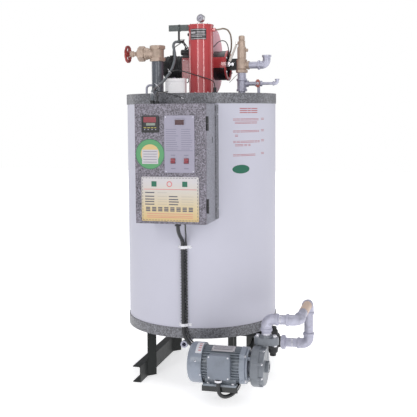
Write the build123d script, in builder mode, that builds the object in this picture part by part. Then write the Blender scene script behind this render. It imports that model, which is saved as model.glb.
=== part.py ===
from build123d import *
from math import radians, sqrt, tan
import os

# Small vertical steam boiler on two skids, with a top burner, a control box and a feed pump.
# Millimetres. Origin on the floor, on the drum's axis. The control box faces -Y, +Z is up.

# Drum
DRUM_RADIUS = 375
SHELL_WALL = 4
DRUM_BOTTOM = 238
DRUM_HEIGHT = 1160
END_PLATE = 6
BAND_HEIGHT = 50
BAND_WALL = 3.5
BAND_EDGE = 1.5

# Skids and legs
SKID_HEIGHT = 80
SKID_FLANGE = 40
SKID_WALL = 5
SKID_ROOT = 5
SKID_HALF_LENGTH = 358
SKID_INNER = 219
LEG_SIDE = 50
LEG_WALL = 6
LEG_SPREAD = 219
ANCHOR_HOLE = 7
ANCHOR_SPREAD = 325

# Blow-down pipe
BLOWDOWN_DROP = 36
BLOWDOWN_RADIUS = 14
BLOWDOWN_REACH = 357
BLOWDOWN_BACK = 60
BLOWDOWN_TURN = 30
BLOWDOWN_BORE = 10
BLOWDOWN_BORE_DEPTH = 60
SOCKET_WALL = 3
SOCKET_LENGTH = 22

# Control box
BOX_WIDTH = 330
BOX_HEIGHT = 539
BOX_DROP = 52
BOX_FRONT = 551
BOX_BACK = 380
BOX_SHEET = 2.5
DOOR_DEPTH = 14
DOOR_GAP = 1
DOOR_FOLD = 2
CHEEK_WALL = 10
CHEEK_REACH = 5
CHEEK_LOW = 4
CHEEK_HIGH = 4
HINGE_RADIUS = 5
HINGE_REACH = 6.5
HINGE_HEIGHT = 64
HINGE_LEAF = 3
HINGE_LEAF_WIDTH = 22
HINGE_SPLIT = 1
HINGE_FROM_BOTTOM = 51
HINGE_FROM_TOP = 57

# Fittings on the door
CONTROLLER_WIDTH = 80
CONTROLLER_HEIGHT = 75
CONTROLLER_X = -90
CONTROLLER_FROM_TOP = 91
CONTROLLER_PROUD = 8
CONTROLLER_DEPTH = 52
CONTROLLER_CORNER = 3
BEZEL_RIM = 5
BEZEL_DEPTH = 2.5
KEY_SIZE = 9
KEY_HEIGHT = 5
KEY_RISE = 1.5
KEY_COUNT = 4
PANEL_WIDTH = 139
PANEL_HEIGHT = 255
PANEL_X = 44
PANEL_FROM_TOP = 180
PANEL_THICK = 3
METER_WIDTH = 48
METER_HEIGHT = 29
METER_THICK = 3
METER_OFFSET = 2
METER_RISE = 97
ROCKER_WIDTH = 20
ROCKER_HEIGHT = 22
ROCKER_GAP = 1
ROCKER_FROM_TOP = 255
ROCKER_X = (14, 76)
ROCKER_TILT = 8
ROCKER_EDGE = 7
ROCKER_VALLEY = 4.6
ROCKER_BACK = 2

# Pipework on the top plate: distances from a line's axis, and heights above the plate
RISER_X = 219
RISER_Y = -40
STEAM_PIPE = 30.2
STEAM_VALVE_RISE = 209
STEAM_VALVE_HALF = 40
STEAM_HEX = 72
STEAM_HEX_HEIGHT = 20
STEAM_BARREL = 33
STEAM_BORE = 24
STEAM_BORE_DEPTH = 34
BONNET_HEX = 68
BONNET_START = 66
BONNET_LENGTH = 34
GLAND_HEX = 27
GLAND_START = 126
GLAND_LENGTH = 20
STEM_RADIUS = 5
PIN_CLEARANCE = 0.3
WHEEL_REACH = 158
WHEEL_RADIUS = 44
WHEEL_RIM = 10
WHEEL_THICK = 10
WHEEL_HUB = 10
WHEEL_SPOKES = 5
WHEEL_NOTCH = 6
VENT_RISE = 49
SIPHON_RADIUS = 5.5
SIPHON_REACH = 60
SIPHON_TURN = 18

SAFETY_PIPE = 21.2
TEE_NECK = 12
TEE_HEIGHT = 62
TEE_RADIUS = 23
TEE_BEAD = 26.5
TEE_BEAD_HEIGHT = 9
SAFETY_RISE = 103
SAFETY_HEX = 52
SAFETY_HEX_HEIGHT = 16
SAFETY_BODY = 25
SAFETY_BODY_HEIGHT = 65
SAFETY_OUTLET_RISE = 37
SAFETY_OUTLET_REACH = 38
SAFETY_BONNET = 22
SAFETY_BONNET_HEIGHT = 66
SAFETY_CAP = 17
SAFETY_CAP_HEIGHT = 26
SAFETY_TIP = 15
LEVER_OFFSET = 24
LEVER_RISE = 16
LEVER_HALF = 3
LEVER_PIN = 2.5
LEVER_EYE = 4.5
LEVER_END = 6
LEVER_REACH = (-35, -84)
FORK_WALL = 4
FORK_GAP = 1
OUTLET_REACH = 125
OUTLET_RADIUS = 19
OUTLET_COLLAR = 23
OUTLET_ARM = 48
OUTLET_LEFT_ARM = 34
OUTLET_BORE = 15
OUTLET_PIPE = 17
VENT_BRANCH = 34
VENT_VALVE_REACH = 85
VENT_VALVE_HALF = 18
VENT_END_REACH = 177
VENT_PIPE = 6.8
VENT_ARM = 22
VENT_LEFT_ARM = 16
VENT_BORE = 6
SPINDLE_RADIUS = 4
SPINDLE_REACH = 26
HANDLE_BACK = 19
HANDLE_LENGTH = 40
HANDLE_WIDTH = 18
HANDLE_THICK = 6

# Burner, with its fan axis along X behind the vertical blast tube
TUBE_RADIUS = 62
TUBE_HEIGHT = 342
TUBE_FLANGE = 68
TUBE_FLANGE_HEIGHT = 6
TUBE_LID = 65
TUBE_LID_HEIGHT = 8
FAN_Y = 160
FAN_RISE = 152
SCROLL_RADIUS = 166
SCROLL_LEFT = -45
SCROLL_RIGHT = 36
SCROLL_RISE = 26
SCROLL_RIM = 4
SCROLL_RIM_WIDTH = 6
DUCT_HALF = 60
FOOT_HALF = 45
INLET_RADIUS = 76
INLET_LENGTH = 64
INLET_RIM = 79
INLET_RIM_LENGTH = 8
INLET_WELL = 62
INLET_WELL_DEPTH = 12
DAMPER_LOW = -14
DAMPER_HIGH = 41
FUEL_PUMP_LOW = 24
FUEL_PUMP_HIGH = 34
FUEL_PUMP_HALF = 30
FUEL_PUMP_LENGTH = 78
FUEL_PUMP_AXIS = 5
FUEL_PUMP_BOSSES = ((26, 12, 11), (48, 8, 7))
FUEL_PUMP_END = (8, 16)
MOTOR_RADIUS = 59
MOTOR_LENGTH = 106
MOTOR_DROP = 3
MOTOR_RIBS = 6
ADAPTER_LENGTH = 87
ADAPTER_SIDE = 108
ADAPTER_DROP = 64
ADAPTER_CORNER = 14
IGNITION_RADIUS = 15
IGNITION_FOOT = 12
IGNITION_LENGTH = 66
IGNITION_SHIFT = -8
IGNITION_FORWARD = 38
RELAY_LEFT = -196
RELAY_WIDTH = 107
RELAY_FRONT = 10
RELAY_DEPTH = 34
RELAY_HEIGHT = 84
RELAY_CORNER = 4
BAR_LENGTH = 106
BAR_HALF = 7
BAR_HEIGHT = 31
GAUGE_RADIUS = 20
GAUGE_DEPTH = 20
GAUGE_RISE = 31
GAUGE_STEM = 5

# Feed pump set on a base plate that an arm on the right skid carries
PUMP_Y = -520
PUMP_Z = 175
COWL_RADIUS = 91
COWL_LEFT = 81
COWL_LENGTH = 68
COWL_WALL = 2.5
COWL_DOME = 20
GRILLE_SLOT = 5
FRAME_CORE = 70
FRAME_RADIUS = 80
FRAME_LENGTH = 171
FIN_COUNT = 36
FIN_WALL = 3.2
SHIELD_LENGTH = 18
FOOT_WIDTH = 36
FOOT_SOLE = 9
FOOT_SPREAD = 62
FOOT_HOLE = 5
FOOT_HOLE_SPREAD = 56
FOOT_HOLE_OUT = 6
FOOT_WEB = 14
FOOT_END = 12
FAN_BLADES = 7
FAN_GAP = 14
FAN_HUB = 12
FAN_DEPTH = 20
PAD_REACH = 72
TERMINAL_LEFT = 32
TERMINAL_WIDTH = 104
TERMINAL_HEIGHT = 110
TERMINAL_LIFT = 12
TERMINAL_DEPTH = 33
TERMINAL_LID = 9
TERMINAL_CORNER = 12
BELL_LENGTH = 34
BELL_RADIUS = 82
EAR_RADIUS = 13
EAR_LENGTH = 23
NECK_LENGTH = 14
NECK_RADIUS = 40
STRUT_RADIUS = 9
CASING_LENGTH = 60
CASING_RADIUS = 90
CASING_COVER = 83
CASING_COVER_LENGTH = 20
CASING_EDGE = 9
BOSS_COUNT = 8
BOSS_RADIUS = 7
PORT_BOSS = 26
PORT_REACH = 14
PORT_RADIUS = 13
PORT_DEPTH = 24
BASE_TOP = 94
BASE_THICK = 8
BASE_FRONT = -600
BASE_BACK = -436
BASE_INSET = 2
BASE_RIGHT_INSET = 6
BASE_LIP = 24
BASE_LIP_WALL = 6
ARM_FRONT = -580
ARM_BACK = -200
FLANGE_LENGTH = 112
FLANGE_WIDTH = 66
FLANGE_THICK = 16
FLANGE_Z = 267
FLANGE_X = 422
FLANGE_Y = -480
FLANGE_HUB = 32
FLANGE_HUB_HEIGHT = 10
NECK_SHIFT = 18

# Feed pipework
FEED_PIPE = 21.2
FEED_ELBOW = 24
FEED_COLLAR = 27
FEED_TURN = 32
FEED_REACH = 55
FEED_LIP = 11
FEED_HIGH = 381
FEED_LOW = 181
FEED_RIGHT = 566
FEED_BACK = -130
UNION_HEX = 62
UNION_LENGTH = 20
CHECK_X = 390
CHECK_REACH = 43
CHECK_ARM = 44
INLET_PIPE = 17
INLET_ELBOW = 19
INLET_TURN = 24
INLET_ARM = 34
INLET_Y = -10
INLET_X = 160

# Cords: radii, the points that each runs through, and how far a corner's arc reaches into its runs
CONDUIT_RADIUS = 9
CABLE_RADIUS = 4
GREY_RADIUS = 7
SENSOR_RADIUS = 2.5
LEAD_RADIUS = 2.4
WIRE_RADIUS = 1.5
CORNER_SHARE = 0.45
PUMP_CONDUIT = (
    (12, -480, 793), (12, -480, 778), (11.8, -473, 763), (11, -457, 747), (9.5, -430, 730), (8, -405, 716),
    (7.2, -391, 704), (7, -386, 690), (7, -386, 297), (9, -393, 277), (17, -400, 254), (34, -406, 232),
    (62, -412, 211), (97, -416, 189), (132, -417, 165), (170, -416, 140), (208, -414, 121), (242, -413, 111),
    (268, -414, 97), (284, -420, 74), (290, -446, 60), (290, -488, 55), (288, -530, 53), (280, -570, 51),
    (262, -599, 50), (242, -611, 57), (230, -613, 76), (230, -613, 119),
)
PUMP_CABLE = (
    (47, -480, 802), (47, -480, 784), (45, -470, 763), (40, -446, 740), (31, -415, 722), (24, -391, 708),
    (21.5, -380, 694), (21.5, -380, 299), (24, -387, 279), (33, -393, 256), (50, -398, 233), (78, -400, 213),
    (112, -401, 197), (146, -401, 185), (176, -402, 178), (200, -412, 177), (200, -428, 177),
)
SUPPLY_CABLE = (
    (-184, 10, 1414), (-184, -12, 1414), (-177, -48, 1411), (-174, -98, 1407), (-170, -150, 1404),
    (-161, -210, 1403), (-148, -272, 1403), (-132, -326, 1403), (-114, -378, 1402), (-97, -424, 1397),
    (-86, -456, 1385), (-86, -462, 1370), (-86, -462, 1358),
)
BURNER_CONDUIT = (
    (-118, -14, 1666), (-130, -14, 1666), (-139.5, -16, 1657), (-141, -20, 1643), (-133, -29, 1622),
    (-123, -46, 1590), (-121, -78, 1548), (-128, -125, 1503), (-140, -190, 1461), (-146, -262, 1434),
    (-142, -334, 1420), (-128, -400, 1409), (-114, -448, 1394), (-108, -468, 1378), (-108, -468, 1361),
)
SENSOR_CABLE = (
    (-119, -128, 1510), (-106, -120, 1516), (-88, -106, 1518), (-58, -88, 1509), (-20, -77, 1496),
    (26, -73, 1482), (58, -68, 1472), (77, -60, 1462), (84, -54, 1448), (84, -54, 1431),
)
TIP_WIRE = (
    (-130.8, -345.3, 1412.7), (-112, -361, 1407), (-84, -379, 1402), (-48, -387, 1393), (-20, -387, 1385),
    (16, -383, 1371),
)
BURNER_LEADS = (
    ((-106, -17.5, 1662.5), (-98, -17.5, 1662.5), (-88, -14, 1655), (-82, -6, 1642), (-76, 0, 1632),
     (-66, 0, 1632)),
    ((-106, -10.5, 1662.5), (-98, -10.5, 1662.5), (-91, 2, 1655), (-84, 20, 1636), (-75, 38, 1612),
     (-62, 52, 1591), (-45, 52, 1591)),
    ((-106, -10.5, 1669.5), (-97, -10.5, 1669.5), (-91, 0, 1668), (-94, 20, 1664), (-102, 52, 1663),
     (-112, 88, 1664), (-118, 112, 1664), (-118, 122, 1655), (-118, 122, 1642)),
    ((-106, -17.5, 1669.5), (-96, -17.5, 1669.5), (-88, -10, 1672), (-90, 8, 1674), (-106, 34, 1670),
     (-136, 68, 1660), (-166, 98, 1650), (-183, 116, 1638), (-186, 124, 1623), (-186, 124, 1607)),
    ((36, 72, 1640), (46, 72, 1640), (57, 74, 1652), (71, 80, 1668), (89, 92, 1676), (105, 108, 1670),
     (113, 124, 1646), (112, 136, 1616), (112, 138, 1600), (112, 138, 1584)),
    ((-118, 112, 1486), (-118, 112, 1474), (-113, 112, 1463), (-102, 112, 1463), (-97, 112, 1474),
     (-97, 112, 1486)),
    ((-106, -14, 1666), (-97, -14, 1666), (-86, -8, 1660), (-78, 8, 1646), (-73, 30, 1627), (-63, 49, 1613),
     (-45, 49, 1613)),
)
FUEL_PIPE = (
    (76, 0, 1722), (92, 0, 1722), (113, 12, 1728), (131, 38, 1723), (138, 75, 1700), (134, 108, 1662),
    (126, 134, 1630), (114, 150, 1609), (114, 150, 1584),
)
FUEL_PIPE_RADIUS = 4

# Glands, clips and other holders of the cords
GLAND_AF = 26
CABLE_GLAND_AF = 18
BOX_GLAND_AF = (20, 15)
GLAND_PROUD = 2
GLAND_SEAT = 13
UPRIGHT_RUN = 7
CABLE_UPRIGHT_RUN = 6
CLIP_HEIGHT = 14
CLIP_WALL = 2.2
CLIP_GAP = 1.2
CLIP_EAR = 30
CLIP_HIGH = 676
CLIP_LOW = 305
COLLAR_RADIUS = 8
COLLAR_LENGTH = 12
STRAP_RADIUS = 3.5
CUFF_SHARES = (0.353, 0.756)
CUFF_LENGTH = 6
CUFF_GAP = 0.4
CUFF_WALL = 1
PLUG_RADIUS = 8
PLUG_LENGTH = 22
PLUG_SEAT = 10
PLUG_SEAT_RADIUS = 13

# Levels and faces that several pieces share
DRUM_TOP = DRUM_BOTTOM + DRUM_HEIGHT
BOX_TOP = DRUM_TOP - BOX_DROP
BOX_BOTTOM = BOX_TOP - BOX_HEIGHT
BOX_MID = BOX_BOTTOM + BOX_HEIGHT / 2
HALF_BOX = BOX_WIDTH / 2
CASE_FRONT = -BOX_FRONT + DOOR_DEPTH + DOOR_GAP
HINGE_X = HALF_BOX + HINGE_REACH
HINGE_Y = -BOX_FRONT + DOOR_DEPTH / 2
HINGES = (BOX_BOTTOM + HINGE_FROM_BOTTOM, BOX_TOP - HINGE_FROM_TOP - HINGE_HEIGHT)
CONTROLLER_Z = BOX_TOP - CONTROLLER_FROM_TOP
ROCKER_Z = BOX_TOP - ROCKER_FROM_TOP
PANEL_Z = BOX_TOP - PANEL_FROM_TOP
ROCKER_HOLE = (ROCKER_WIDTH + 2 * ROCKER_GAP, ROCKER_HEIGHT + 2 * ROCKER_GAP)

os.makedirs("parts", exist_ok=True)


def save(builder, label):
    builder.part.label = label
    export_step(builder.part, f"parts/{label}.step")


def side_plane(start, toward):
    """A plane through an axis, with its local x along the axis."""
    toward = Vector(*toward).normalized()
    across = Vector(0, 0, 1) if abs(toward.Z) < 0.9 else Vector(0, 1, 0)
    return Plane(origin=start, x_dir=toward, z_dir=toward.cross(across))


def rod(start, end, radius):
    """Add a round bar between two points to the current part."""
    along = Vector(*end) - Vector(*start)
    with BuildSketch(Plane(origin=start, z_dir=along.normalized())) as section:
        Circle(radius)
    extrude(section.sketch, amount=along.length)


def bore(start, end, radius):
    """Cut a round hole between two points out of the current part."""
    along = Vector(*end) - Vector(*start)
    with BuildSketch(Plane(origin=start, z_dir=along.normalized())) as section:
        Circle(radius)
    extrude(section.sketch, amount=along.length, mode=Mode.SUBTRACT)


def turned(start, toward, profile, mode=Mode.ADD):
    """Add a turned form: its profile lists the distance along the axis and the radius there."""
    with BuildSketch(side_plane(start, toward)) as section:
        with BuildLine():
            Polyline((profile[0][0], 0), *profile, (profile[-1][0], 0), close=True)
        make_face()
    return revolve(section.sketch, axis=Axis(start, toward), mode=mode)


def nut(start, end, across_flats):
    """Add a hexagon with turned corners between two points to the current part."""
    along = Vector(*end) - Vector(*start)
    with BuildSketch(Plane(origin=start, z_dir=along.normalized())) as section:
        RegularPolygon(across_flats / 2, 6, major_radius=False)
    hexagon = extrude(section.sketch, amount=along.length, mode=Mode.PRIVATE)
    corner = across_flats / sqrt(3) + 0.5
    face = across_flats / 2 - 0.5
    slope = (corner - face) / 2
    profile = ((0, face), (slope, corner), (along.length - slope, corner), (along.length, face))
    barrel = turned(start, along, profile, Mode.PRIVATE)
    add(hexagon & barrel)


def block(low, high, corner=0):
    """Add a block between two opposite corners to the current part, with rounded upright edges."""
    size = [b - a for a, b in zip(low, high)]
    middle = [(a + b) / 2 for a, b in zip(low, high)]
    with BuildSketch(Plane.XY.offset(low[2])) as section:
        with Locations((middle[0], middle[1])):
            if corner:
                RectangleRounded(size[0], size[1], corner)
            else:
                Rectangle(size[0], size[1])
    extrude(section.sketch, amount=size[2])


def bend(corner, toward_a, toward_b, radius, turn, reach_a, reach_b):
    """Add a quarter bend whose two ends stand off from its corner along two directions."""
    corner = Vector(*corner)
    a = Vector(*toward_a)
    b = Vector(*toward_b)
    with BuildSketch(Plane(origin=corner + a * turn, z_dir=a)) as section:
        Circle(radius)
    centre = corner + (a + b) * turn
    revolve(section.sketch, axis=Axis(centre, b.cross(a)), revolution_arc=90)
    for way, reach in ((a, reach_a), (b, reach_b)):
        if reach > turn:
            rod(corner + way * turn, corner + way * reach, radius)


def elbow(corner, toward_a, toward_b, radius, collar, turn, reach_a, reach_b, lip):
    """Add a pipe elbow with a thick collar at each mouth."""
    bend(corner, toward_a, toward_b, radius, turn, reach_a, reach_b)
    for way, reach in ((toward_a, reach_a), (toward_b, reach_b)):
        collar_face = lip / 5
        profile = ((reach - lip - collar_face, radius), (reach - lip, collar), (reach - collar_face, collar),
                   (reach, collar - collar_face))
        turned(corner, way, profile)


def route_of(points):
    """A line of straight runs and tangent arcs, each as large as its two runs allow, with the arcs' radii."""
    radii = []
    for before, here, after in zip(points, points[1:], points[2:]):
        first = Vector(*here) - Vector(*before)
        second = Vector(*after) - Vector(*here)
        turn = radians(first.get_angle(second))
        radii.append(CORNER_SHARE * min(first.length, second.length) / tan(turn / 2))
    with BuildLine() as route:
        FilletPolyline(*points, radius=radii)
    return route.wires()[0], radii


def cord(label, points, radius):
    """Add a plain tube along a cord's route."""
    route, radii = route_of(points)
    start = Vector(*points[0])
    with BuildSketch(Plane(origin=start, z_dir=Vector(*points[1]) - start)) as section:
        Circle(radius)
    sweep(section.sketch, path=route)
    smallest = min(radii)
    print(f"{label}: length {route.length:.0f}, smallest radius {smallest:.1f}")
    print("  radii", " ".join(f"{value:.0f}" for value in radii))


# Drum
with BuildPart() as drum_shell:
    with BuildSketch(Plane.XY.offset(DRUM_BOTTOM + END_PLATE)):
        Circle(DRUM_RADIUS)
        Circle(DRUM_RADIUS - SHELL_WALL, mode=Mode.SUBTRACT)
    extrude(amount=DRUM_HEIGHT - 2 * END_PLATE)
save(drum_shell, "drum_shell")

for label, height in (("bottom_plate", DRUM_BOTTOM), ("top_plate", DRUM_TOP - END_PLATE)):
    with BuildPart() as plate:
        with BuildSketch(Plane.XY.offset(height)):
            Circle(DRUM_RADIUS)
        extrude(amount=END_PLATE)
    save(plate, label)

with BuildPart() as drum_bands:
    for height in (DRUM_BOTTOM, DRUM_TOP - BAND_HEIGHT):
        with BuildSketch(Plane.XY.offset(height)) as section:
            Circle(DRUM_RADIUS + BAND_WALL)
            Circle(DRUM_RADIUS, mode=Mode.SUBTRACT)
        extrude(section.sketch, amount=BAND_HEIGHT)
    fillet(drum_bands.edges().filter_by(GeomType.CIRCLE).group_by(SortBy.RADIUS)[-1], BAND_EDGE)
save(drum_bands, "drum_bands")

# Skids: channels with the web inside and the flanges outwards
for label, side in (("skid_left", -1), ("skid_right", 1)):
    with BuildPart() as skid:
        with BuildSketch(Plane.XZ.offset(-SKID_HALF_LENGTH)):
            with Locations((side * (SKID_INNER + SKID_FLANGE / 2), SKID_HEIGHT / 2)):
                Rectangle(SKID_FLANGE, SKID_HEIGHT)
            with Locations((side * (SKID_INNER + SKID_WALL + SKID_FLANGE), SKID_HEIGHT / 2)):
                RectangleRounded(2 * SKID_FLANGE, SKID_HEIGHT - 2 * SKID_WALL, SKID_ROOT, mode=Mode.SUBTRACT)
        extrude(amount=2 * SKID_HALF_LENGTH)
        hole_x = side * (SKID_INNER + SKID_WALL + (SKID_FLANGE - SKID_WALL) / 2)
        for way in (-1, 1):
            bore((hole_x, way * ANCHOR_SPREAD, 0), (hole_x, way * ANCHOR_SPREAD, SKID_WALL), ANCHOR_HOLE)
    save(skid, label)

# Legs: angle bars with the corner inwards and both toes on the skid's web
with BuildPart() as legs:
    for side_y in (-1, 1):
        for side_x in (-1, 1):
            with BuildSketch() as section:
                corner_x = SKID_INNER - LEG_SIDE / sqrt(2)
                with Locations((side_x * corner_x, side_y * LEG_SPREAD)):
                    for way in (-1, 1):
                        turn = 45 * way if side_x > 0 else 180 + 45 * way
                        Rectangle(
                            LEG_SIDE + LEG_WALL, LEG_WALL, rotation=turn,
                            align=(Align.MIN, Align.MAX if way > 0 else Align.MIN),
                        )
                with Locations((side_x * (SKID_INNER - LEG_SIDE), side_y * LEG_SPREAD)):
                    Rectangle(2 * LEG_SIDE, 3 * LEG_SIDE, mode=Mode.INTERSECT)
            extrude(section.sketch, amount=DRUM_BOTTOM)
save(legs, "legs")

# Blow-down pipe under the drum, with a socket on its open end
blowdown_z = DRUM_BOTTOM - BLOWDOWN_DROP
with BuildPart() as blowdown_pipe:
    bend((0, -BLOWDOWN_BACK, blowdown_z), (0, -1, 0), (0, 0, 1), BLOWDOWN_RADIUS, BLOWDOWN_TURN,
         BLOWDOWN_REACH - BLOWDOWN_BACK - SOCKET_LENGTH, BLOWDOWN_DROP)
    rod((0, SOCKET_LENGTH - BLOWDOWN_REACH, blowdown_z), (0, -BLOWDOWN_REACH, blowdown_z),
        BLOWDOWN_RADIUS + SOCKET_WALL)
    bore((0, -BLOWDOWN_REACH, blowdown_z), (0, BLOWDOWN_BORE_DEPTH - BLOWDOWN_REACH, blowdown_z), BLOWDOWN_BORE)
save(blowdown_pipe, "blowdown_pipe")

# Control box case, open at the front, on two cheeks that reach back to the drum
with BuildPart() as control_box:
    with BuildSketch(Plane.XZ.offset(-CASE_FRONT)):
        with Locations((0, BOX_MID)):
            Rectangle(BOX_WIDTH, BOX_HEIGHT)
    extrude(amount=-(-BOX_BACK - CASE_FRONT))
    fillet(control_box.edges().filter_by(Axis.Y), DOOR_FOLD)
    offset(amount=-BOX_SHEET, openings=control_box.faces().sort_by(Axis.Y)[0])
save(control_box, "control_box")

with BuildPart() as box_bracket:
    for side in (-1, 1):
        outer = side * (HALF_BOX + CHEEK_REACH)
        inner = outer - side * CHEEK_WALL
        block((min(outer, inner), -BOX_BACK, BOX_BOTTOM + CHEEK_LOW),
              (max(outer, inner), HALF_BOX - BOX_BACK, BOX_TOP - CHEEK_HIGH))
    with BuildSketch(Plane.XY.offset(BOX_BOTTOM)):
        Circle(DRUM_RADIUS)
    extrude(amount=BOX_HEIGHT, mode=Mode.SUBTRACT)
save(box_bracket, "box_bracket")

# Hinges: the lower knuckle of each is fixed to the case, the upper one to the door
with BuildPart() as box_hinges:
    for low in HINGES:
        middle = low + HINGE_HEIGHT / 2 - HINGE_SPLIT
        rod((HINGE_X, HINGE_Y, low), (HINGE_X, HINGE_Y, middle), HINGE_RADIUS)
        block((HALF_BOX, CASE_FRONT, low), (HALF_BOX + HINGE_LEAF, CASE_FRONT + HINGE_LEAF_WIDTH, middle))
        block((HALF_BOX + HINGE_LEAF / 2, HINGE_Y + 2, low), (HINGE_X, CASE_FRONT + HINGE_LEAF, middle))
save(box_hinges, "box_hinges")

# Door: a folded pan with cut-outs for its fittings
controller_body = (CONTROLLER_WIDTH - 4 * CONTROLLER_CORNER, CONTROLLER_HEIGHT - 4 * CONTROLLER_CORNER)
with BuildPart() as control_box_door:
    with BuildSketch(Plane.XZ.offset(BOX_FRONT)):
        with Locations((0, BOX_MID)):
            Rectangle(BOX_WIDTH, BOX_HEIGHT)
    extrude(amount=-DOOR_DEPTH)
    fillet(control_box_door.edges().filter_by(Axis.Y), DOOR_FOLD)
    offset(amount=-BOX_SHEET, openings=control_box_door.faces().sort_by(Axis.Y)[-1])
    with BuildSketch(Plane.XZ.offset(BOX_FRONT)) as cut:
        with Locations((CONTROLLER_X, CONTROLLER_Z)):
            Rectangle(*controller_body)
        with Locations(*[(x, ROCKER_Z) for x in ROCKER_X]):
            Rectangle(*ROCKER_HOLE)
    extrude(cut.sketch, amount=-BOX_SHEET, mode=Mode.SUBTRACT)
save(control_box_door, "control_box_door")

with BuildPart() as door_hinges:
    for low in HINGES:
        middle = low + HINGE_HEIGHT / 2
        top = low + HINGE_HEIGHT
        rod((HINGE_X, HINGE_Y, middle), (HINGE_X, HINGE_Y, top), HINGE_RADIUS)
        block((HALF_BOX, HINGE_SPLIT - BOX_FRONT, middle), (HALF_BOX + HINGE_LEAF, HINGE_Y + 5, top))
        block((HALF_BOX + HINGE_SPLIT, HINGE_Y - 2, middle), (HINGE_X, HINGE_Y + 2, top))
save(door_hinges, "door_hinges")

# Temperature controller: a sunk window in a bezel, with a row of keys under it
with BuildPart() as temperature_controller:
    with BuildSketch(Plane.XZ.offset(BOX_FRONT)) as bezel:
        with Locations((CONTROLLER_X, CONTROLLER_Z)):
            RectangleRounded(CONTROLLER_WIDTH, CONTROLLER_HEIGHT, CONTROLLER_CORNER)
    extrude(bezel.sketch, amount=CONTROLLER_PROUD)
    with BuildSketch(Plane.XZ.offset(BOX_FRONT + CONTROLLER_PROUD)) as window:
        with Locations((CONTROLLER_X, CONTROLLER_Z)):
            RectangleRounded(CONTROLLER_WIDTH - 2 * BEZEL_RIM, CONTROLLER_HEIGHT - 2 * BEZEL_RIM,
                             CONTROLLER_CORNER)
    extrude(window.sketch, amount=-BEZEL_DEPTH, mode=Mode.SUBTRACT)
    with BuildSketch(Plane.XZ.offset(BOX_FRONT + CONTROLLER_PROUD - BEZEL_DEPTH)) as keys:
        with Locations((CONTROLLER_X, CONTROLLER_Z - CONTROLLER_HEIGHT / 2 + BEZEL_RIM + KEY_SIZE)):
            with GridLocations((CONTROLLER_WIDTH - 2 * BEZEL_RIM) / KEY_COUNT, KEY_SIZE, KEY_COUNT, 1):
                RectangleRounded(KEY_SIZE, KEY_HEIGHT, KEY_HEIGHT / 5)
    extrude(keys.sketch, amount=KEY_RISE)
    with BuildSketch(Plane.XZ.offset(BOX_FRONT)) as body:
        with Locations((CONTROLLER_X, CONTROLLER_Z)):
            Rectangle(*controller_body)
    extrude(body.sketch, amount=-CONTROLLER_DEPTH)
save(temperature_controller, "temperature_controller")

with BuildPart() as switch_panel:
    with BuildSketch(Plane.XZ.offset(BOX_FRONT)) as plate:
        with Locations((PANEL_X, PANEL_Z)):
            RectangleRounded(PANEL_WIDTH, PANEL_HEIGHT, CONTROLLER_CORNER)
        with Locations(*[(x, ROCKER_Z) for x in ROCKER_X]):
            Rectangle(*ROCKER_HOLE, mode=Mode.SUBTRACT)
    extrude(plate.sketch, amount=PANEL_THICK)
    with BuildSketch(Plane.XZ.offset(BOX_FRONT + PANEL_THICK)) as meter:
        with Locations((PANEL_X + METER_OFFSET, PANEL_Z + METER_RISE)):
            RectangleRounded(METER_WIDTH, METER_HEIGHT, METER_THICK / 2)
    extrude(meter.sketch, amount=METER_THICK)
save(switch_panel, "switch_panel")

# Rocker switches: two facets meeting in a shallow valley, pivoting about X
ROCKER_PIVOT_Y = -BOX_FRONT - PANEL_THICK / 2
for label, x in zip(("rocker_left", "rocker_right"), ROCKER_X):
    with BuildPart() as rocker:
        half = ROCKER_HEIGHT / 2
        with BuildSketch(Plane(origin=(x, ROCKER_PIVOT_Y, ROCKER_Z), x_dir=(0, 0, 1), z_dir=(1, 0, 0))):
            with BuildLine():
                Polyline((-half, -ROCKER_BACK), (half, -ROCKER_BACK), (half, ROCKER_EDGE), (0, ROCKER_VALLEY),
                         (-half, ROCKER_EDGE), close=True)
            make_face()
        extrude(amount=ROCKER_WIDTH / 2, both=True)
    rocker.part = rocker.part.rotate(Axis((x, ROCKER_PIVOT_Y, ROCKER_Z), (1, 0, 0)), -ROCKER_TILT)
    save(rocker, label)

# Steam line on the left, with its valve's stem pointing away from the drum's axis
STEAM_X = -RISER_X
STEAM_Z = DRUM_TOP + STEAM_VALVE_RISE
VALVE_LOW = STEAM_Z - STEAM_VALVE_HALF
VALVE_HIGH = STEAM_Z + STEAM_VALVE_HALF
with BuildPart() as steam_riser:
    foot = STEAM_PIPE + 8
    turned((STEAM_X, RISER_Y, DRUM_TOP), (0, 0, 1),
           ((0, foot), (5, foot), (12, STEAM_PIPE), (VALVE_LOW - DRUM_TOP, STEAM_PIPE)))
save(steam_riser, "steam_riser")

with BuildPart() as steam_valve_body:
    for low in (VALVE_LOW, VALVE_HIGH - STEAM_HEX_HEIGHT):
        nut((STEAM_X, RISER_Y, low), (STEAM_X, RISER_Y, low + STEAM_HEX_HEIGHT), STEAM_HEX)
    rod((STEAM_X, RISER_Y, VALVE_LOW + STEAM_HEX_HEIGHT), (STEAM_X, RISER_Y, VALVE_HIGH - STEAM_HEX_HEIGHT),
        STEAM_BARREL)
    neck = STEAM_BARREL * 0.79
    turned((STEAM_X, RISER_Y, STEAM_Z), (-1, 0, 0),
           ((0, neck), (BONNET_START * 0.6, neck), (BONNET_START * 0.85, STEAM_BARREL - 2),
            (BONNET_START, STEAM_BARREL - 2)))
    bore((STEAM_X, RISER_Y, VALVE_HIGH), (STEAM_X, RISER_Y, VALVE_HIGH - STEAM_BORE_DEPTH), STEAM_BORE)
save(steam_valve_body, "steam_valve_body")

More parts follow.
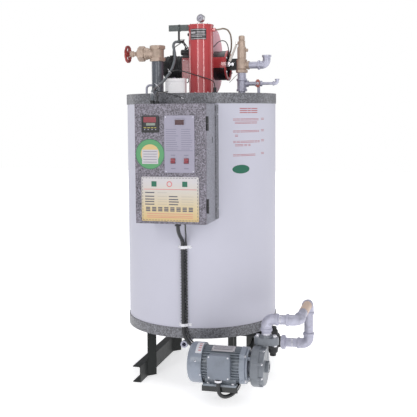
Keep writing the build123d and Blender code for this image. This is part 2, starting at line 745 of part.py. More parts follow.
gland_hole = STEM_RADIUS + PIN_CLEARANCE
with BuildPart() as steam_valve_bonnet:
    bonnet_end = BONNET_START + BONNET_LENGTH
    nut((STEAM_X - BONNET_START, RISER_Y, STEAM_Z), (STEAM_X - bonnet_end, RISER_Y, STEAM_Z), BONNET_HEX)
    turned((STEAM_X - bonnet_end, RISER_Y, STEAM_Z), (-1, 0, 0),
           ((0, BONNET_HEX * 0.42), (5, BONNET_HEX * 0.34), (11, BONNET_HEX * 0.21), (16, STEM_RADIUS + 6),
            (GLAND_START - bonnet_end, STEM_RADIUS + 6)))
    nut((STEAM_X - GLAND_START, RISER_Y, STEAM_Z), (STEAM_X - GLAND_START - GLAND_LENGTH, RISER_Y, STEAM_Z),
        GLAND_HEX)
    bore((STEAM_X - GLAND_START - GLAND_LENGTH, RISER_Y, STEAM_Z),
         (STEAM_X - GLAND_START - 4, RISER_Y, STEAM_Z), gland_hole)
save(steam_valve_bonnet, "steam_valve_bonnet")

# Handwheel: a scalloped rim on spokes, with the stem that runs into the gland
WHEEL_X = STEAM_X - WHEEL_REACH
with BuildPart() as steam_handwheel:
    with BuildSketch(Plane.YZ.offset(WHEEL_X - WHEEL_THICK / 2)) as rim:
        with Locations((RISER_Y, STEAM_Z)):
            Circle(WHEEL_RADIUS)
            with PolarLocations(WHEEL_RADIUS + WHEEL_NOTCH / 2, 2 * WHEEL_SPOKES):
                Circle(WHEEL_NOTCH, mode=Mode.SUBTRACT)
            Circle(WHEEL_RADIUS - WHEEL_RIM, mode=Mode.SUBTRACT)
    extrude(rim.sketch, amount=WHEEL_THICK)
    with BuildSketch(Plane.YZ.offset(WHEEL_X - WHEEL_THICK / 4)) as spokes:
        with Locations((RISER_Y, STEAM_Z)):
            Circle(WHEEL_HUB)
            with PolarLocations((WHEEL_RADIUS - WHEEL_RIM / 2) / 2, WHEEL_SPOKES):
                Rectangle(WHEEL_RADIUS - WHEEL_RIM / 2, WHEEL_RIM * 0.7)
    extrude(spokes.sketch, amount=WHEEL_THICK / 2)
    rod((WHEEL_X - WHEEL_THICK, RISER_Y, STEAM_Z), (WHEEL_X + WHEEL_THICK, RISER_Y, STEAM_Z), WHEEL_HUB)
    rod((WHEEL_X, RISER_Y, STEAM_Z), (STEAM_X - GLAND_START - 8, RISER_Y, STEAM_Z), STEM_RADIUS)
save(steam_handwheel, "steam_handwheel")

VENT_Z = DRUM_TOP + VENT_RISE
with BuildPart() as siphon_tube:
    bend((STEAM_X - SIPHON_REACH, RISER_Y, VENT_Z), (0, 0, -1), (1, 0, 0), SIPHON_RADIUS, SIPHON_TURN,
         VENT_RISE, SIPHON_REACH - STEAM_PIPE)
save(siphon_tube, "siphon_tube")

# Safety valve line on the right: tee, valve and side outlet
TEE_LOW = DRUM_TOP + TEE_NECK
TEE_HIGH = TEE_LOW + TEE_HEIGHT
SAFETY_LOW = DRUM_TOP + SAFETY_RISE
with BuildPart() as safety_riser:
    tee_end = TEE_NECK + TEE_HEIGHT
    turned((RISER_X, RISER_Y, DRUM_TOP), (0, 0, 1),
           ((0, SAFETY_PIPE - 4), (TEE_NECK, SAFETY_PIPE - 4), (TEE_NECK, TEE_BEAD),
            (TEE_NECK + TEE_BEAD_HEIGHT, TEE_BEAD), (TEE_NECK + TEE_BEAD_HEIGHT + 3, TEE_RADIUS),
            (tee_end - TEE_BEAD_HEIGHT - 3, TEE_RADIUS), (tee_end - TEE_BEAD_HEIGHT, TEE_BEAD),
            (tee_end, TEE_BEAD), (tee_end, SAFETY_PIPE), (SAFETY_RISE, SAFETY_PIPE)))
    turned((RISER_X, RISER_Y, VENT_Z), (1, 0, 0),
           ((0, 13), (VENT_BRANCH - TEE_BEAD_HEIGHT, 13), (VENT_BRANCH - TEE_BEAD_HEIGHT, 16),
            (VENT_BRANCH, 16)))
save(safety_riser, "safety_riser")

OUTLET_Z = SAFETY_LOW + SAFETY_OUTLET_RISE
BONNET_LOW = SAFETY_LOW + SAFETY_BODY_HEIGHT
CAP_LOW = BONNET_LOW + SAFETY_BONNET_HEIGHT
with BuildPart() as safety_valve_body:
    nut((RISER_X, RISER_Y, SAFETY_LOW), (RISER_X, RISER_Y, SAFETY_LOW + SAFETY_HEX_HEIGHT), SAFETY_HEX)
    turned((RISER_X, RISER_Y, SAFETY_LOW), (0, 0, 1),
           ((SAFETY_HEX_HEIGHT, SAFETY_BODY - 3), (SAFETY_HEX_HEIGHT + 5, SAFETY_BODY),
            (SAFETY_BODY_HEIGHT - 6, SAFETY_BODY), (SAFETY_BODY_HEIGHT - 6, SAFETY_BODY + 1.5),
            (SAFETY_BODY_HEIGHT, SAFETY_BODY + 1.5)))
    turned((RISER_X, RISER_Y, OUTLET_Z), (1, 0, 0),
           ((0, 18), (SAFETY_OUTLET_REACH - 10, 18), (SAFETY_OUTLET_REACH - 8, 21), (SAFETY_OUTLET_REACH, 21)))
save(safety_valve_body, "safety_valve_body")

LEVER_X = RISER_X - LEVER_OFFSET
LEVER_Z = CAP_LOW + LEVER_RISE
with BuildPart() as safety_valve_bonnet:
    cap = SAFETY_BONNET_HEIGHT + SAFETY_CAP_HEIGHT
    turned((RISER_X, RISER_Y, BONNET_LOW), (0, 0, 1),
           ((0, SAFETY_BONNET - 1), (6, SAFETY_BONNET - 1), (10, SAFETY_BONNET),
            (SAFETY_BONNET_HEIGHT - 8, SAFETY_BONNET), (SAFETY_BONNET_HEIGHT, SAFETY_CAP), (cap, SAFETY_CAP),
            (cap, SAFETY_TIP - 2), (cap + 6, SAFETY_TIP), (cap + 22, SAFETY_TIP), (cap + 26, SAFETY_TIP - 5)))
    rod((RISER_X, RISER_Y, CAP_LOW - 20), (RISER_X + SAFETY_BONNET + 9, RISER_Y, CAP_LOW - 20), 8)
    fork_in = LEVER_HALF + FORK_GAP
    fork_out = fork_in + FORK_WALL
    for side in (-1, 1):
        low_y, high_y = sorted((RISER_Y + side * fork_in, RISER_Y + side * fork_out))
        block((LEVER_X - 6, low_y, LEVER_Z - 6), (RISER_X, high_y, LEVER_Z + 6))
    rod((LEVER_X, RISER_Y - fork_out, LEVER_Z), (LEVER_X, RISER_Y + fork_out, LEVER_Z), LEVER_PIN)
save(safety_valve_bonnet, "safety_valve_bonnet")

with BuildPart() as safety_lever:
    with BuildSketch(Plane.XZ.offset(-RISER_Y)) as outline:
        with Locations((LEVER_X, LEVER_Z)):
            Circle(LEVER_EYE)
        with Locations((LEVER_X + LEVER_REACH[0], LEVER_Z + LEVER_REACH[1])):
            Circle(LEVER_END)
        make_hull()
    extrude(outline.sketch, amount=LEVER_HALF, both=True)
    bore((LEVER_X, RISER_Y - LEVER_HALF, LEVER_Z), (LEVER_X, RISER_Y + LEVER_HALF, LEVER_Z),
         LEVER_PIN + PIN_CLEARANCE)
save(safety_lever, "safety_lever")

OUTLET_X = RISER_X + OUTLET_REACH
with BuildPart() as safety_outlet:
    rod((RISER_X + SAFETY_OUTLET_REACH, RISER_Y, OUTLET_Z), (OUTLET_X - OUTLET_LEFT_ARM, RISER_Y, OUTLET_Z),
        OUTLET_PIPE)
    elbow((OUTLET_X, RISER_Y, OUTLET_Z), (-1, 0, 0), (0, 0, 1), OUTLET_RADIUS, OUTLET_COLLAR, OUTLET_COLLAR + 1,
          OUTLET_LEFT_ARM + 10, OUTLET_ARM, 10)
    bore((OUTLET_X, RISER_Y, OUTLET_Z + OUTLET_ARM), (OUTLET_X, RISER_Y, OUTLET_Z + OUTLET_ARM / 2), OUTLET_BORE)
save(safety_outlet, "safety_outlet")

VENT_VALVE_X = RISER_X + VENT_VALVE_REACH
VENT_END_X = RISER_X + VENT_END_REACH
with BuildPart() as vent_valve:
    rod((RISER_X + VENT_BRANCH, RISER_Y, VENT_Z), (VENT_VALVE_X - VENT_VALVE_HALF, RISER_Y, VENT_Z), 10)
    nut((VENT_VALVE_X - VENT_VALVE_HALF, RISER_Y, VENT_Z), (VENT_VALVE_X + VENT_VALVE_HALF, RISER_Y, VENT_Z), 24)
    rod((VENT_VALVE_X, RISER_Y, VENT_Z), (VENT_VALVE_X, RISER_Y, DRUM_TOP), 7)
    rod((VENT_VALVE_X, RISER_Y, VENT_Z), (VENT_VALVE_X, RISER_Y - SPINDLE_REACH, VENT_Z), SPINDLE_RADIUS)
    nut((VENT_VALVE_X, RISER_Y - SPINDLE_REACH, VENT_Z), (VENT_VALVE_X, RISER_Y - SPINDLE_REACH - 5, VENT_Z), 13)
    rod((VENT_VALVE_X + VENT_VALVE_HALF, RISER_Y, VENT_Z), (VENT_END_X - VENT_LEFT_ARM, RISER_Y, VENT_Z),
        VENT_PIPE)
    elbow((VENT_END_X, RISER_Y, VENT_Z), (-1, 0, 0), (0, 0, 1), 8.5, 11, 11, VENT_LEFT_ARM + 6, VENT_ARM, 7)
    bore((VENT_END_X, RISER_Y, VENT_Z + VENT_ARM), (VENT_END_X, RISER_Y, VENT_Z + VENT_ARM / 2), VENT_BORE)
save(vent_valve, "vent_valve")

with BuildPart() as vent_handle:
    with BuildSketch(Plane.XZ.offset(-RISER_Y + HANDLE_BACK)):
        with Locations((VENT_VALVE_X, VENT_Z)):
            SlotOverall(HANDLE_LENGTH, HANDLE_WIDTH, rotation=90)
            Circle(SPINDLE_RADIUS + PIN_CLEARANCE, mode=Mode.SUBTRACT)
    extrude(amount=HANDLE_THICK)
save(vent_handle, "vent_handle")

# Burner: the blast tube stands on the drum's axis
TUBE_TOP = DRUM_TOP + TUBE_HEIGHT
FAN_Z = DRUM_TOP + FAN_RISE
with BuildPart() as burner_housing:
    turned((0, 0, DRUM_TOP), (0, 0, 1),
           ((0, TUBE_FLANGE), (TUBE_FLANGE_HEIGHT, TUBE_FLANGE), (TUBE_FLANGE_HEIGHT, TUBE_RADIUS),
            (TUBE_HEIGHT, TUBE_RADIUS), (TUBE_HEIGHT, TUBE_LID), (TUBE_HEIGHT + TUBE_LID_HEIGHT - 2, TUBE_LID),
            (TUBE_HEIGHT + TUBE_LID_HEIGHT, TUBE_LID - 2)))
    rod((0, 0, BURNER_LEADS[0][-1][2]), (BURNER_LEADS[0][-1][0], 0, BURNER_LEADS[0][-1][2]), 6)
    nut((TUBE_RADIUS - 4, 0, FUEL_PIPE[0][2]), (FUEL_PIPE[0][0], 0, FUEL_PIPE[0][2]), 16)
save(burner_housing, "burner_housing")

# Fan scroll: a drum with rims, a duct to the tube and a foot on the top plate
SCROLL_Z = FAN_Z + SCROLL_RISE
with BuildPart() as burner_scroll:
    rod((SCROLL_LEFT, FAN_Y, SCROLL_Z), (SCROLL_RIGHT, FAN_Y, SCROLL_Z), SCROLL_RADIUS - SCROLL_RIM)
    for start in (SCROLL_LEFT, SCROLL_RIGHT - SCROLL_RIM_WIDTH):
        rod((start, FAN_Y, SCROLL_Z), (start + SCROLL_RIM_WIDTH, FAN_Y, SCROLL_Z), SCROLL_RADIUS)
    block((SCROLL_LEFT, 0, SCROLL_Z - DUCT_HALF), (SCROLL_RIGHT, FAN_Y, SCROLL_Z + DUCT_HALF))
    block((SCROLL_LEFT, FAN_Y - FOOT_HALF, DRUM_TOP), (SCROLL_RIGHT, FAN_Y + FOOT_HALF, SCROLL_Z))
    bore((0, 0, DRUM_TOP), (0, 0, TUBE_TOP), TUBE_RADIUS)
save(burner_scroll, "burner_scroll")

INLET_END = SCROLL_RIGHT + INLET_LENGTH
INLET_FACE = INLET_END + INLET_RIM_LENGTH
with BuildPart() as air_inlet:
    rod((SCROLL_RIGHT, FAN_Y, FAN_Z), (INLET_END, FAN_Y, FAN_Z), INLET_RADIUS)
    bore((INLET_END, FAN_Y, FAN_Z), (INLET_END - INLET_WELL_DEPTH, FAN_Y, FAN_Z), INLET_WELL)
save(air_inlet, "air_inlet")

# Damper: the inlet's rim and the shutter plate that lies round the front of the inlet
with BuildPart() as air_damper:
    with BuildSketch(Plane.YZ.offset(INLET_END)) as ring:
        with Locations((FAN_Y, FAN_Z)):
            Circle(INLET_RIM)
            Circle(INLET_WELL, mode=Mode.SUBTRACT)
    extrude(ring.sketch, amount=INLET_RIM_LENGTH)
    with BuildSketch(Plane.YZ.offset(SCROLL_RIGHT)) as shutter:
        with Locations((FAN_Y, FAN_Z)):
            Circle(INLET_RIM - 1)
            Circle(INLET_RADIUS, mode=Mode.SUBTRACT)
        with Locations((FAN_Y - INLET_RIM, FAN_Z + (DAMPER_LOW + DAMPER_HIGH) / 2)):
            Rectangle(INLET_RIM, DAMPER_HIGH - DAMPER_LOW, mode=Mode.INTERSECT)
    extrude(shutter.sketch, amount=INLET_LENGTH)
save(air_damper, "air_damper")

with BuildPart() as fuel_pump:
    pump_left = INLET_END - INLET_WELL_DEPTH
    block((pump_left, FAN_Y - FUEL_PUMP_HALF, FAN_Z - FUEL_PUMP_LOW),
          (pump_left + FUEL_PUMP_LENGTH, FAN_Y + FUEL_PUMP_HALF, FAN_Z + FUEL_PUMP_HIGH), 6)
    axis_z = FAN_Z + FUEL_PUMP_AXIS
    for along, reach, size in FUEL_PUMP_BOSSES:
        boss_x = pump_left + along
        rod((boss_x, FAN_Y, axis_z), (boss_x, FAN_Y - FUEL_PUMP_HALF - reach, axis_z), size)
    pump_right = pump_left + FUEL_PUMP_LENGTH
    rod((pump_right, FAN_Y, axis_z), (pump_right + FUEL_PUMP_END[0], FAN_Y, axis_z), FUEL_PUMP_END[1])
save(fuel_pump, "fuel_pump")

ADAPTER_LEFT = SCROLL_LEFT - ADAPTER_LENGTH
ADAPTER_LOW = FAN_Z - ADAPTER_DROP
ADAPTER_TOP = ADAPTER_LOW + ADAPTER_SIDE
with BuildPart() as motor_adapter:
    with BuildSketch(Plane.YZ.offset(ADAPTER_LEFT)) as section:
        with Locations((FAN_Y, ADAPTER_LOW + ADAPTER_SIDE / 2)):
            Rectangle(ADAPTER_SIDE, ADAPTER_SIDE)
    extrude(section.sketch, amount=ADAPTER_LENGTH)
    fillet(motor_adapter.edges().filter_by(Axis.X).sort_by(Axis.Z)[-2:], ADAPTER_CORNER)
save(motor_adapter, "motor_adapter")

# Burner motor with cooling rings and a small terminal block
MOTOR_Z = FAN_Z - MOTOR_DROP
with BuildPart() as burner_motor:
    rod((ADAPTER_LEFT, FAN_Y, MOTOR_Z), (ADAPTER_LEFT - MOTOR_LENGTH, FAN_Y, MOTOR_Z), MOTOR_RADIUS - 3)
    pitch = MOTOR_LENGTH / (MOTOR_RIBS + 1)
    for rib in range(MOTOR_RIBS):
        middle = ADAPTER_LEFT - pitch * (rib + 1)
        rod((middle + 2.5, FAN_Y, MOTOR_Z), (middle - 2.5, FAN_Y, MOTOR_Z), MOTOR_RADIUS)
    lead_end = BURNER_LEADS[3][-1]
    block((lead_end[0] - 15, lead_end[1] - 12, MOTOR_Z + MOTOR_RADIUS / 2),
          (lead_end[0] + 15, lead_end[1] + 16, lead_end[2]), 3)
save(burner_motor, "burner_motor")

with BuildPart() as ignition_unit:
    unit_y = FAN_Y - IGNITION_FORWARD
    unit_z = ADAPTER_TOP + IGNITION_FOOT + IGNITION_RADIUS
    unit_left = ADAPTER_LEFT + IGNITION_SHIFT
    unit_right = unit_left + IGNITION_LENGTH
    rod((unit_left, unit_y, unit_z), (unit_right, unit_y, unit_z), IGNITION_RADIUS)
    fillet(ignition_unit.edges().filter_by(GeomType.CIRCLE), IGNITION_RADIUS / 4)
    foot = IGNITION_RADIUS * 0.6
    block((unit_left + foot, unit_y - foot, ADAPTER_TOP), (unit_right - foot, unit_y + foot, unit_z))
    lead_end = BURNER_LEADS[2][-1]
    rod((lead_end[0], unit_y, unit_z), (lead_end[0], unit_y, lead_end[2]), 2 * LEAD_RADIUS)
save(ignition_unit, "ignition_unit")

with BuildPart() as relay_box:
    block((RELAY_LEFT, RELAY_FRONT, DRUM_TOP),
          (RELAY_LEFT + RELAY_WIDTH, RELAY_FRONT + RELAY_DEPTH, DRUM_TOP + RELAY_HEIGHT), RELAY_CORNER)
    fillet(relay_box.faces().sort_by(Axis.Z)[-1].edges(), RELAY_CORNER / 2)
save(relay_box, "relay_box")

# Support bar on the tube, with a strap and a collar that hold the burner's conduit and leads
BAR_TOP = TUBE_TOP + TUBE_LID_HEIGHT + 3
with BuildPart() as support_bar:
    block((-TUBE_RADIUS - BAR_LENGTH, -BAR_HALF, BAR_TOP - BAR_HEIGHT), (0, BAR_HALF, BAR_TOP))
    bore((0, 0, TUBE_TOP), (0, 0, BAR_TOP), TUBE_LID)
    bore((0, 0, BAR_TOP - BAR_HEIGHT), (0, 0, TUBE_TOP), TUBE_RADIUS)
    conduit_end = Vector(*BURNER_CONDUIT[0])
    collar_end = conduit_end + Vector(COLLAR_LENGTH, 0, 0)
    rod(conduit_end, collar_end, COLLAR_RADIUS)
    strap_low = (conduit_end + collar_end) / 2
    strap_z = BAR_TOP - BAR_HEIGHT / 2
    rod(strap_low, (strap_low.X, -BAR_HALF - STRAP_RADIUS, strap_z), STRAP_RADIUS)
    rod((strap_low.X, 0, strap_z), (strap_low.X, -BAR_HALF - 2 * STRAP_RADIUS, strap_z), STRAP_RADIUS + 1)
save(support_bar, "support_bar")

with BuildPart() as pressure_gauge:
    lid_top = TUBE_TOP + TUBE_LID_HEIGHT
    facing = Vector(-0.32, -0.9, 0.25).normalized()
    centre = Vector(2, -2, lid_top + GAUGE_RISE)
    turned(centre - facing * (GAUGE_DEPTH / 2), facing,
           ((0, GAUGE_RADIUS - 3), (3, GAUGE_RADIUS), (GAUGE_DEPTH, GAUGE_RADIUS),
            (GAUGE_DEPTH, GAUGE_RADIUS - 2), (GAUGE_DEPTH - 1.5, GAUGE_RADIUS - 2)))
    nut((2, 0, lid_top), (2, 0, lid_top + 8), 14)
    rod((2, 0, lid_top + 8), (2, 0, lid_top + GAUGE_RISE), GAUGE_STEM)
save(pressure_gauge, "pressure_gauge")

with BuildPart() as fuel_pipe:
    cord("fuel_pipe", FUEL_PIPE, FUEL_PIPE_RADIUS)
save(fuel_pipe, "fuel_pipe")

# Feed pump set. Cowl: a drawn shell with two rings of slots in its dome
COWL_RIGHT = COWL_LEFT + COWL_LENGTH
FRAME_RIGHT = COWL_RIGHT + FRAME_LENGTH
BELL_RIGHT = FRAME_RIGHT + BELL_LENGTH
CASING_LEFT = BELL_RIGHT + NECK_LENGTH
CASING_RIGHT = CASING_LEFT + CASING_LENGTH
with BuildPart() as pump_motor_cowl:
    rod((COWL_LEFT, PUMP_Y, PUMP_Z), (COWL_RIGHT, PUMP_Y, PUMP_Z), COWL_RADIUS)
    fillet(pump_motor_cowl.edges().sort_by(Axis.X)[0], COWL_DOME)
    offset(amount=-COWL_WALL, openings=pump_motor_cowl.faces().sort_by(Axis.X)[-1])
    with BuildSketch(Plane.YZ.offset(COWL_LEFT)) as slots:
        with Locations((PUMP_Y, PUMP_Z)):
            for ring_radius, count in ((COWL_RADIUS * 0.3, 10), (COWL_RADIUS * 0.6, 20)):
                with PolarLocations(ring_radius, count):
                    SlotOverall(COWL_RADIUS * 0.24, GRILLE_SLOT)
    extrude(slots.sketch, amount=2 * COWL_WALL, mode=Mode.SUBTRACT)
save(pump_motor_cowl, "pump_motor_cowl")

# Motor frame: core with straight fins, end shield and fan under the cowl, feet and terminal pad
FRAME_MID = COWL_RIGHT + FRAME_LENGTH / 2
PAD_LEFT = COWL_RIGHT + TERMINAL_LEFT
TERMINAL_MID = PUMP_Z + TERMINAL_LIFT
with BuildPart() as pump_motor_frame:
    rod((COWL_RIGHT, PUMP_Y, PUMP_Z), (FRAME_RIGHT, PUMP_Y, PUMP_Z), FRAME_CORE)
    with BuildSketch(Plane.YZ.offset(COWL_RIGHT)) as fins:
        with Locations((PUMP_Y, PUMP_Z)):
            with PolarLocations(FRAME_RADIUS - FRAME_CORE / 5, FIN_COUNT):
                Rectangle(2 * FRAME_CORE / 5, FIN_WALL)
            Circle(FRAME_RADIUS, mode=Mode.INTERSECT)
    extrude(fins.sketch, amount=FRAME_LENGTH)
    rod((COWL_RIGHT - SHIELD_LENGTH, PUMP_Y, PUMP_Z), (COWL_RIGHT, PUMP_Y, PUMP_Z), COWL_RADIUS - COWL_WALL)
    fan_left = COWL_LEFT + FAN_GAP
    rod((COWL_RIGHT - SHIELD_LENGTH, PUMP_Y, PUMP_Z), (fan_left, PUMP_Y, PUMP_Z), FAN_HUB)
    with BuildSketch(Plane.YZ.offset(fan_left)) as blades:
        with Locations((PUMP_Y, PUMP_Z)):
            with PolarLocations(FRAME_CORE / 2, FAN_BLADES):
                Rectangle(FRAME_CORE, FIN_WALL)
    extrude(blades.sketch, amount=FAN_DEPTH)
    rod((fan_left + FAN_DEPTH, PUMP_Y, PUMP_Z), (fan_left + FAN_DEPTH + FIN_WALL, PUMP_Y, PUMP_Z), FRAME_CORE)
    block((PAD_LEFT + 6, PUMP_Y - PAD_REACH, TERMINAL_MID - TERMINAL_HEIGHT / 2 + 6),
          (PAD_LEFT + TERMINAL_WIDTH - 6, PUMP_Y - FRAME_CORE / 2, TERMINAL_MID + TERMINAL_HEIGHT / 2 - 14))
    with BuildSketch(Plane.XZ.offset(PAD_REACH - PUMP_Y)) as seat:
        with Locations((PAD_LEFT + TERMINAL_WIDTH / 2, TERMINAL_MID)):
            Rectangle(TERMINAL_WIDTH + 4, TERMINAL_HEIGHT + 4)
    extrude(seat.sketch, amount=TERMINAL_DEPTH, mode=Mode.SUBTRACT)
    gland_x, _, gland_z = PUMP_CABLE[-1]
    rod((gland_x, PUMP_Y + FRAME_CORE / 2, gland_z), (gland_x, PUMP_Y + FRAME_RADIUS + GLAND_PROUD, gland_z),
        GLAND_SEAT)
    for side in (-1, 1):
        inner = PUMP_Y + side * (FOOT_SPREAD - FOOT_WIDTH / 2)
        near, far = sorted((inner, inner + side * FOOT_WIDTH))
        web_near, web_far = sorted((inner, inner + side * FOOT_WEB))
        block((COWL_RIGHT + FOOT_END / 2, near, BASE_TOP), (FRAME_RIGHT - FOOT_END, far, BASE_TOP + FOOT_SOLE), 3)
        block((COWL_RIGHT + FOOT_END, web_near, BASE_TOP), (FRAME_RIGHT - 1.5 * FOOT_END, web_far, PUMP_Z - FRAME_CORE / 2))
        for way in (-1, 1):
            hole = (FRAME_MID + way * FOOT_HOLE_SPREAD, PUMP_Y + side * (FOOT_SPREAD + FOOT_HOLE_OUT))
            bore((*hole, BASE_TOP), (*hole, BASE_TOP + FOOT_SOLE), FOOT_HOLE)
save(pump_motor_frame, "pump_motor_frame")

with BuildPart() as pump_terminal_box:
    back_y = PUMP_Y - PAD_REACH
    with BuildSketch(Plane.XZ.offset(-back_y)) as body:
        with Locations((PAD_LEFT + TERMINAL_WIDTH / 2, TERMINAL_MID)):
            RectangleRounded(TERMINAL_WIDTH - 4, TERMINAL_HEIGHT - 4, TERMINAL_CORNER - 2)
    extrude(body.sketch, amount=TERMINAL_DEPTH - TERMINAL_LID)
    with BuildSketch(Plane.XZ.offset(-back_y + TERMINAL_DEPTH - TERMINAL_LID)) as lid:
        with Locations((PAD_LEFT + TERMINAL_WIDTH / 2, TERMINAL_MID)):
            RectangleRounded(TERMINAL_WIDTH, TERMINAL_HEIGHT, TERMINAL_CORNER)
    extrude(lid.sketch, amount=TERMINAL_LID)
    fillet(pump_terminal_box.faces().sort_by(Axis.Y)[0].edges(), 4)
save(pump_terminal_box, "pump_terminal_box")

with BuildPart() as pump_motor_bell:
    turned((FRAME_RIGHT, PUMP_Y, PUMP_Z), (1, 0, 0),
           ((0, BELL_RADIUS), (EAR_LENGTH, BELL_RADIUS), (EAR_LENGTH + 4, BELL_RADIUS - 8),
            (BELL_LENGTH, BELL_RADIUS - 10)))
    with BuildSketch(Plane.YZ.offset(FRAME_RIGHT)) as ears:
        with Locations((PUMP_Y, PUMP_Z)):
            with PolarLocations(BELL_RADIUS - 4, 4, start_angle=45):
                Circle(EAR_RADIUS)
    extrude(ears.sketch, amount=EAR_LENGTH)
    rod((BELL_RIGHT, PUMP_Y, PUMP_Z), (CASING_LEFT, PUMP_Y, PUMP_Z), NECK_RADIUS)
    with BuildSketch(Plane.YZ.offset(BELL_RIGHT)) as struts:
        with Locations((PUMP_Y, PUMP_Z)):
            with PolarLocations(BELL_RADIUS - 22, 4, start_angle=45):
                Circle(STRUT_RADIUS)
    extrude(struts.sketch, amount=NECK_LENGTH)
save(pump_motor_bell, "pump_motor_bell")

# Pump casing: rounded drum with a bossed rim, a cover, the suction port and the discharge flange
with BuildPart() as pump_casing:
    cover_left = CASING_RIGHT - CASING_COVER_LENGTH
    rod((CASING_LEFT, PUMP_Y, PUMP_Z), (cover_left, PUMP_Y, PUMP_Z), CASING_RADIUS)
    fillet(pump_casing.edges().filter_by(GeomType.CIRCLE), CASING_EDGE)
    rod((cover_left, PUMP_Y, PUMP_Z), (CASING_RIGHT, PUMP_Y, PUMP_Z), CASING_COVER)
    fillet(pump_casing.edges().sort_by(Axis.X)[-1], CASING_EDGE / 2)
    with BuildSketch(Plane.YZ.offset(CASING_LEFT + CASING_EDGE)) as bosses:
        with Locations((PUMP_Y, PUMP_Z)):
            with PolarLocations(CASING_RADIUS - BOSS_RADIUS, BOSS_COUNT, start_angle=22.5):
                Circle(BOSS_RADIUS + 1)
    extrude(bosses.sketch, amount=CASING_LENGTH - CASING_EDGE - 8)
    port_end = CASING_RIGHT + PORT_REACH
    rod((CASING_RIGHT - CASING_EDGE, PUMP_Y, PUMP_Z), (port_end, PUMP_Y, PUMP_Z), PORT_BOSS)
    bore((port_end, PUMP_Y, PUMP_Z), (port_end - PORT_DEPTH, PUMP_Y, PUMP_Z), PORT_RADIUS)
    rod((FLANGE_X - NECK_SHIFT, FLANGE_Y, PUMP_Z + 20), (FLANGE_X - NECK_SHIFT, FLANGE_Y, FLANGE_Z), PORT_BOSS)
    with BuildSketch(Plane.XY.offset(FLANGE_Z)) as oval:
        with Locations((FLANGE_X, FLANGE_Y)):
            SlotOverall(FLANGE_LENGTH, FLANGE_WIDTH)
    extrude(oval.sketch, amount=FLANGE_THICK)
save(pump_casing, "pump_casing")

JOINT_Z = FLANGE_Z + FLANGE_THICK
HUB_TOP = FLANGE_THICK + FLANGE_HUB_HEIGHT
with BuildPart() as discharge_flange:
    with BuildSketch(Plane.XY.offset(JOINT_Z)) as oval:
        with Locations((FLANGE_X, FLANGE_Y)):
            SlotOverall(FLANGE_LENGTH, FLANGE_WIDTH)
    extrude(oval.sketch, amount=FLANGE_THICK)
    turned((FLANGE_X, FLANGE_Y, JOINT_Z), (0, 0, 1),
           ((FLANGE_THICK / 2, FLANGE_HUB), (FLANGE_THICK, FLANGE_HUB), (HUB_TOP, FLANGE_HUB - 5)))
save(discharge_flange, "discharge_flange")

# Base plate, turned down at the front, with its arm along the top of the right skid
with BuildPart() as pump_base:
    plate_low = BASE_TOP - BASE_THICK
    base_left = COWL_RIGHT + BASE_INSET
    base_right = FRAME_RIGHT - BASE_RIGHT_INSET
    block((base_left, BASE_FRONT, plate_low), (base_right, BASE_BACK, BASE_TOP))
    block((base_left, BASE_FRONT, BASE_TOP - BASE_LIP), (base_right, BASE_FRONT + BASE_LIP_WALL, BASE_TOP))
    block((SKID_INNER, ARM_FRONT, SKID_HEIGHT), (SKID_INNER + SKID_FLANGE, ARM_BACK, plate_low))
save(pump_base, "pump_base")

# Feed pipework: up from the pump, out, back and down to the check valve
UNION_LEFT = CHECK_X + CHECK_REACH
with BuildPart() as feed_fittings:
    arms = (FEED_REACH, FEED_REACH, FEED_LIP)
    elbow((FLANGE_X, FLANGE_Y, FEED_HIGH), (0, 0, -1), (1, 0, 0), FEED_ELBOW, FEED_COLLAR, FEED_TURN, *arms)
    elbow((FEED_RIGHT, FLANGE_Y, FEED_HIGH), (-1, 0, 0), (0, 1, 0), FEED_ELBOW, FEED_COLLAR, FEED_TURN, *arms)
    elbow((FEED_RIGHT, FEED_BACK, FEED_HIGH), (0, -1, 0), (0, 0, -1), FEED_ELBOW, FEED_COLLAR, FEED_TURN, *arms)
    elbow((FEED_RIGHT, FEED_BACK, FEED_LOW), (0, 0, 1), (-1, 0, 0), FEED_ELBOW, FEED_COLLAR, FEED_TURN, *arms)
    nut((UNION_LEFT, FEED_BACK, FEED_LOW), (UNION_LEFT + UNION_LENGTH, FEED_BACK, FEED_LOW), UNION_HEX)
save(feed_fittings, "feed_fittings")

with BuildPart() as feed_pipes:
    rod((FLANGE_X, FLANGE_Y, JOINT_Z + HUB_TOP), (FLANGE_X, FLANGE_Y, FEED_HIGH - FEED_REACH), FEED_PIPE)
    rod((FLANGE_X + FEED_REACH, FLANGE_Y, FEED_HIGH), (FEED_RIGHT - FEED_REACH, FLANGE_Y, FEED_HIGH), FEED_PIPE)
    rod((FEED_RIGHT, FLANGE_Y + FEED_REACH, FEED_HIGH), (FEED_RIGHT, FEED_BACK - FEED_REACH, FEED_HIGH), FEED_PIPE)
    rod((FEED_RIGHT, FEED_BACK, FEED_HIGH - FEED_REACH), (FEED_RIGHT, FEED_BACK, FEED_LOW + FEED_REACH), FEED_PIPE)
    rod((FEED_RIGHT - FEED_REACH, FEED_BACK, FEED_LOW), (UNION_LEFT + UNION_LENGTH, FEED_BACK, FEED_LOW), FEED_PIPE)
save(feed_pipes, "feed_pipes")

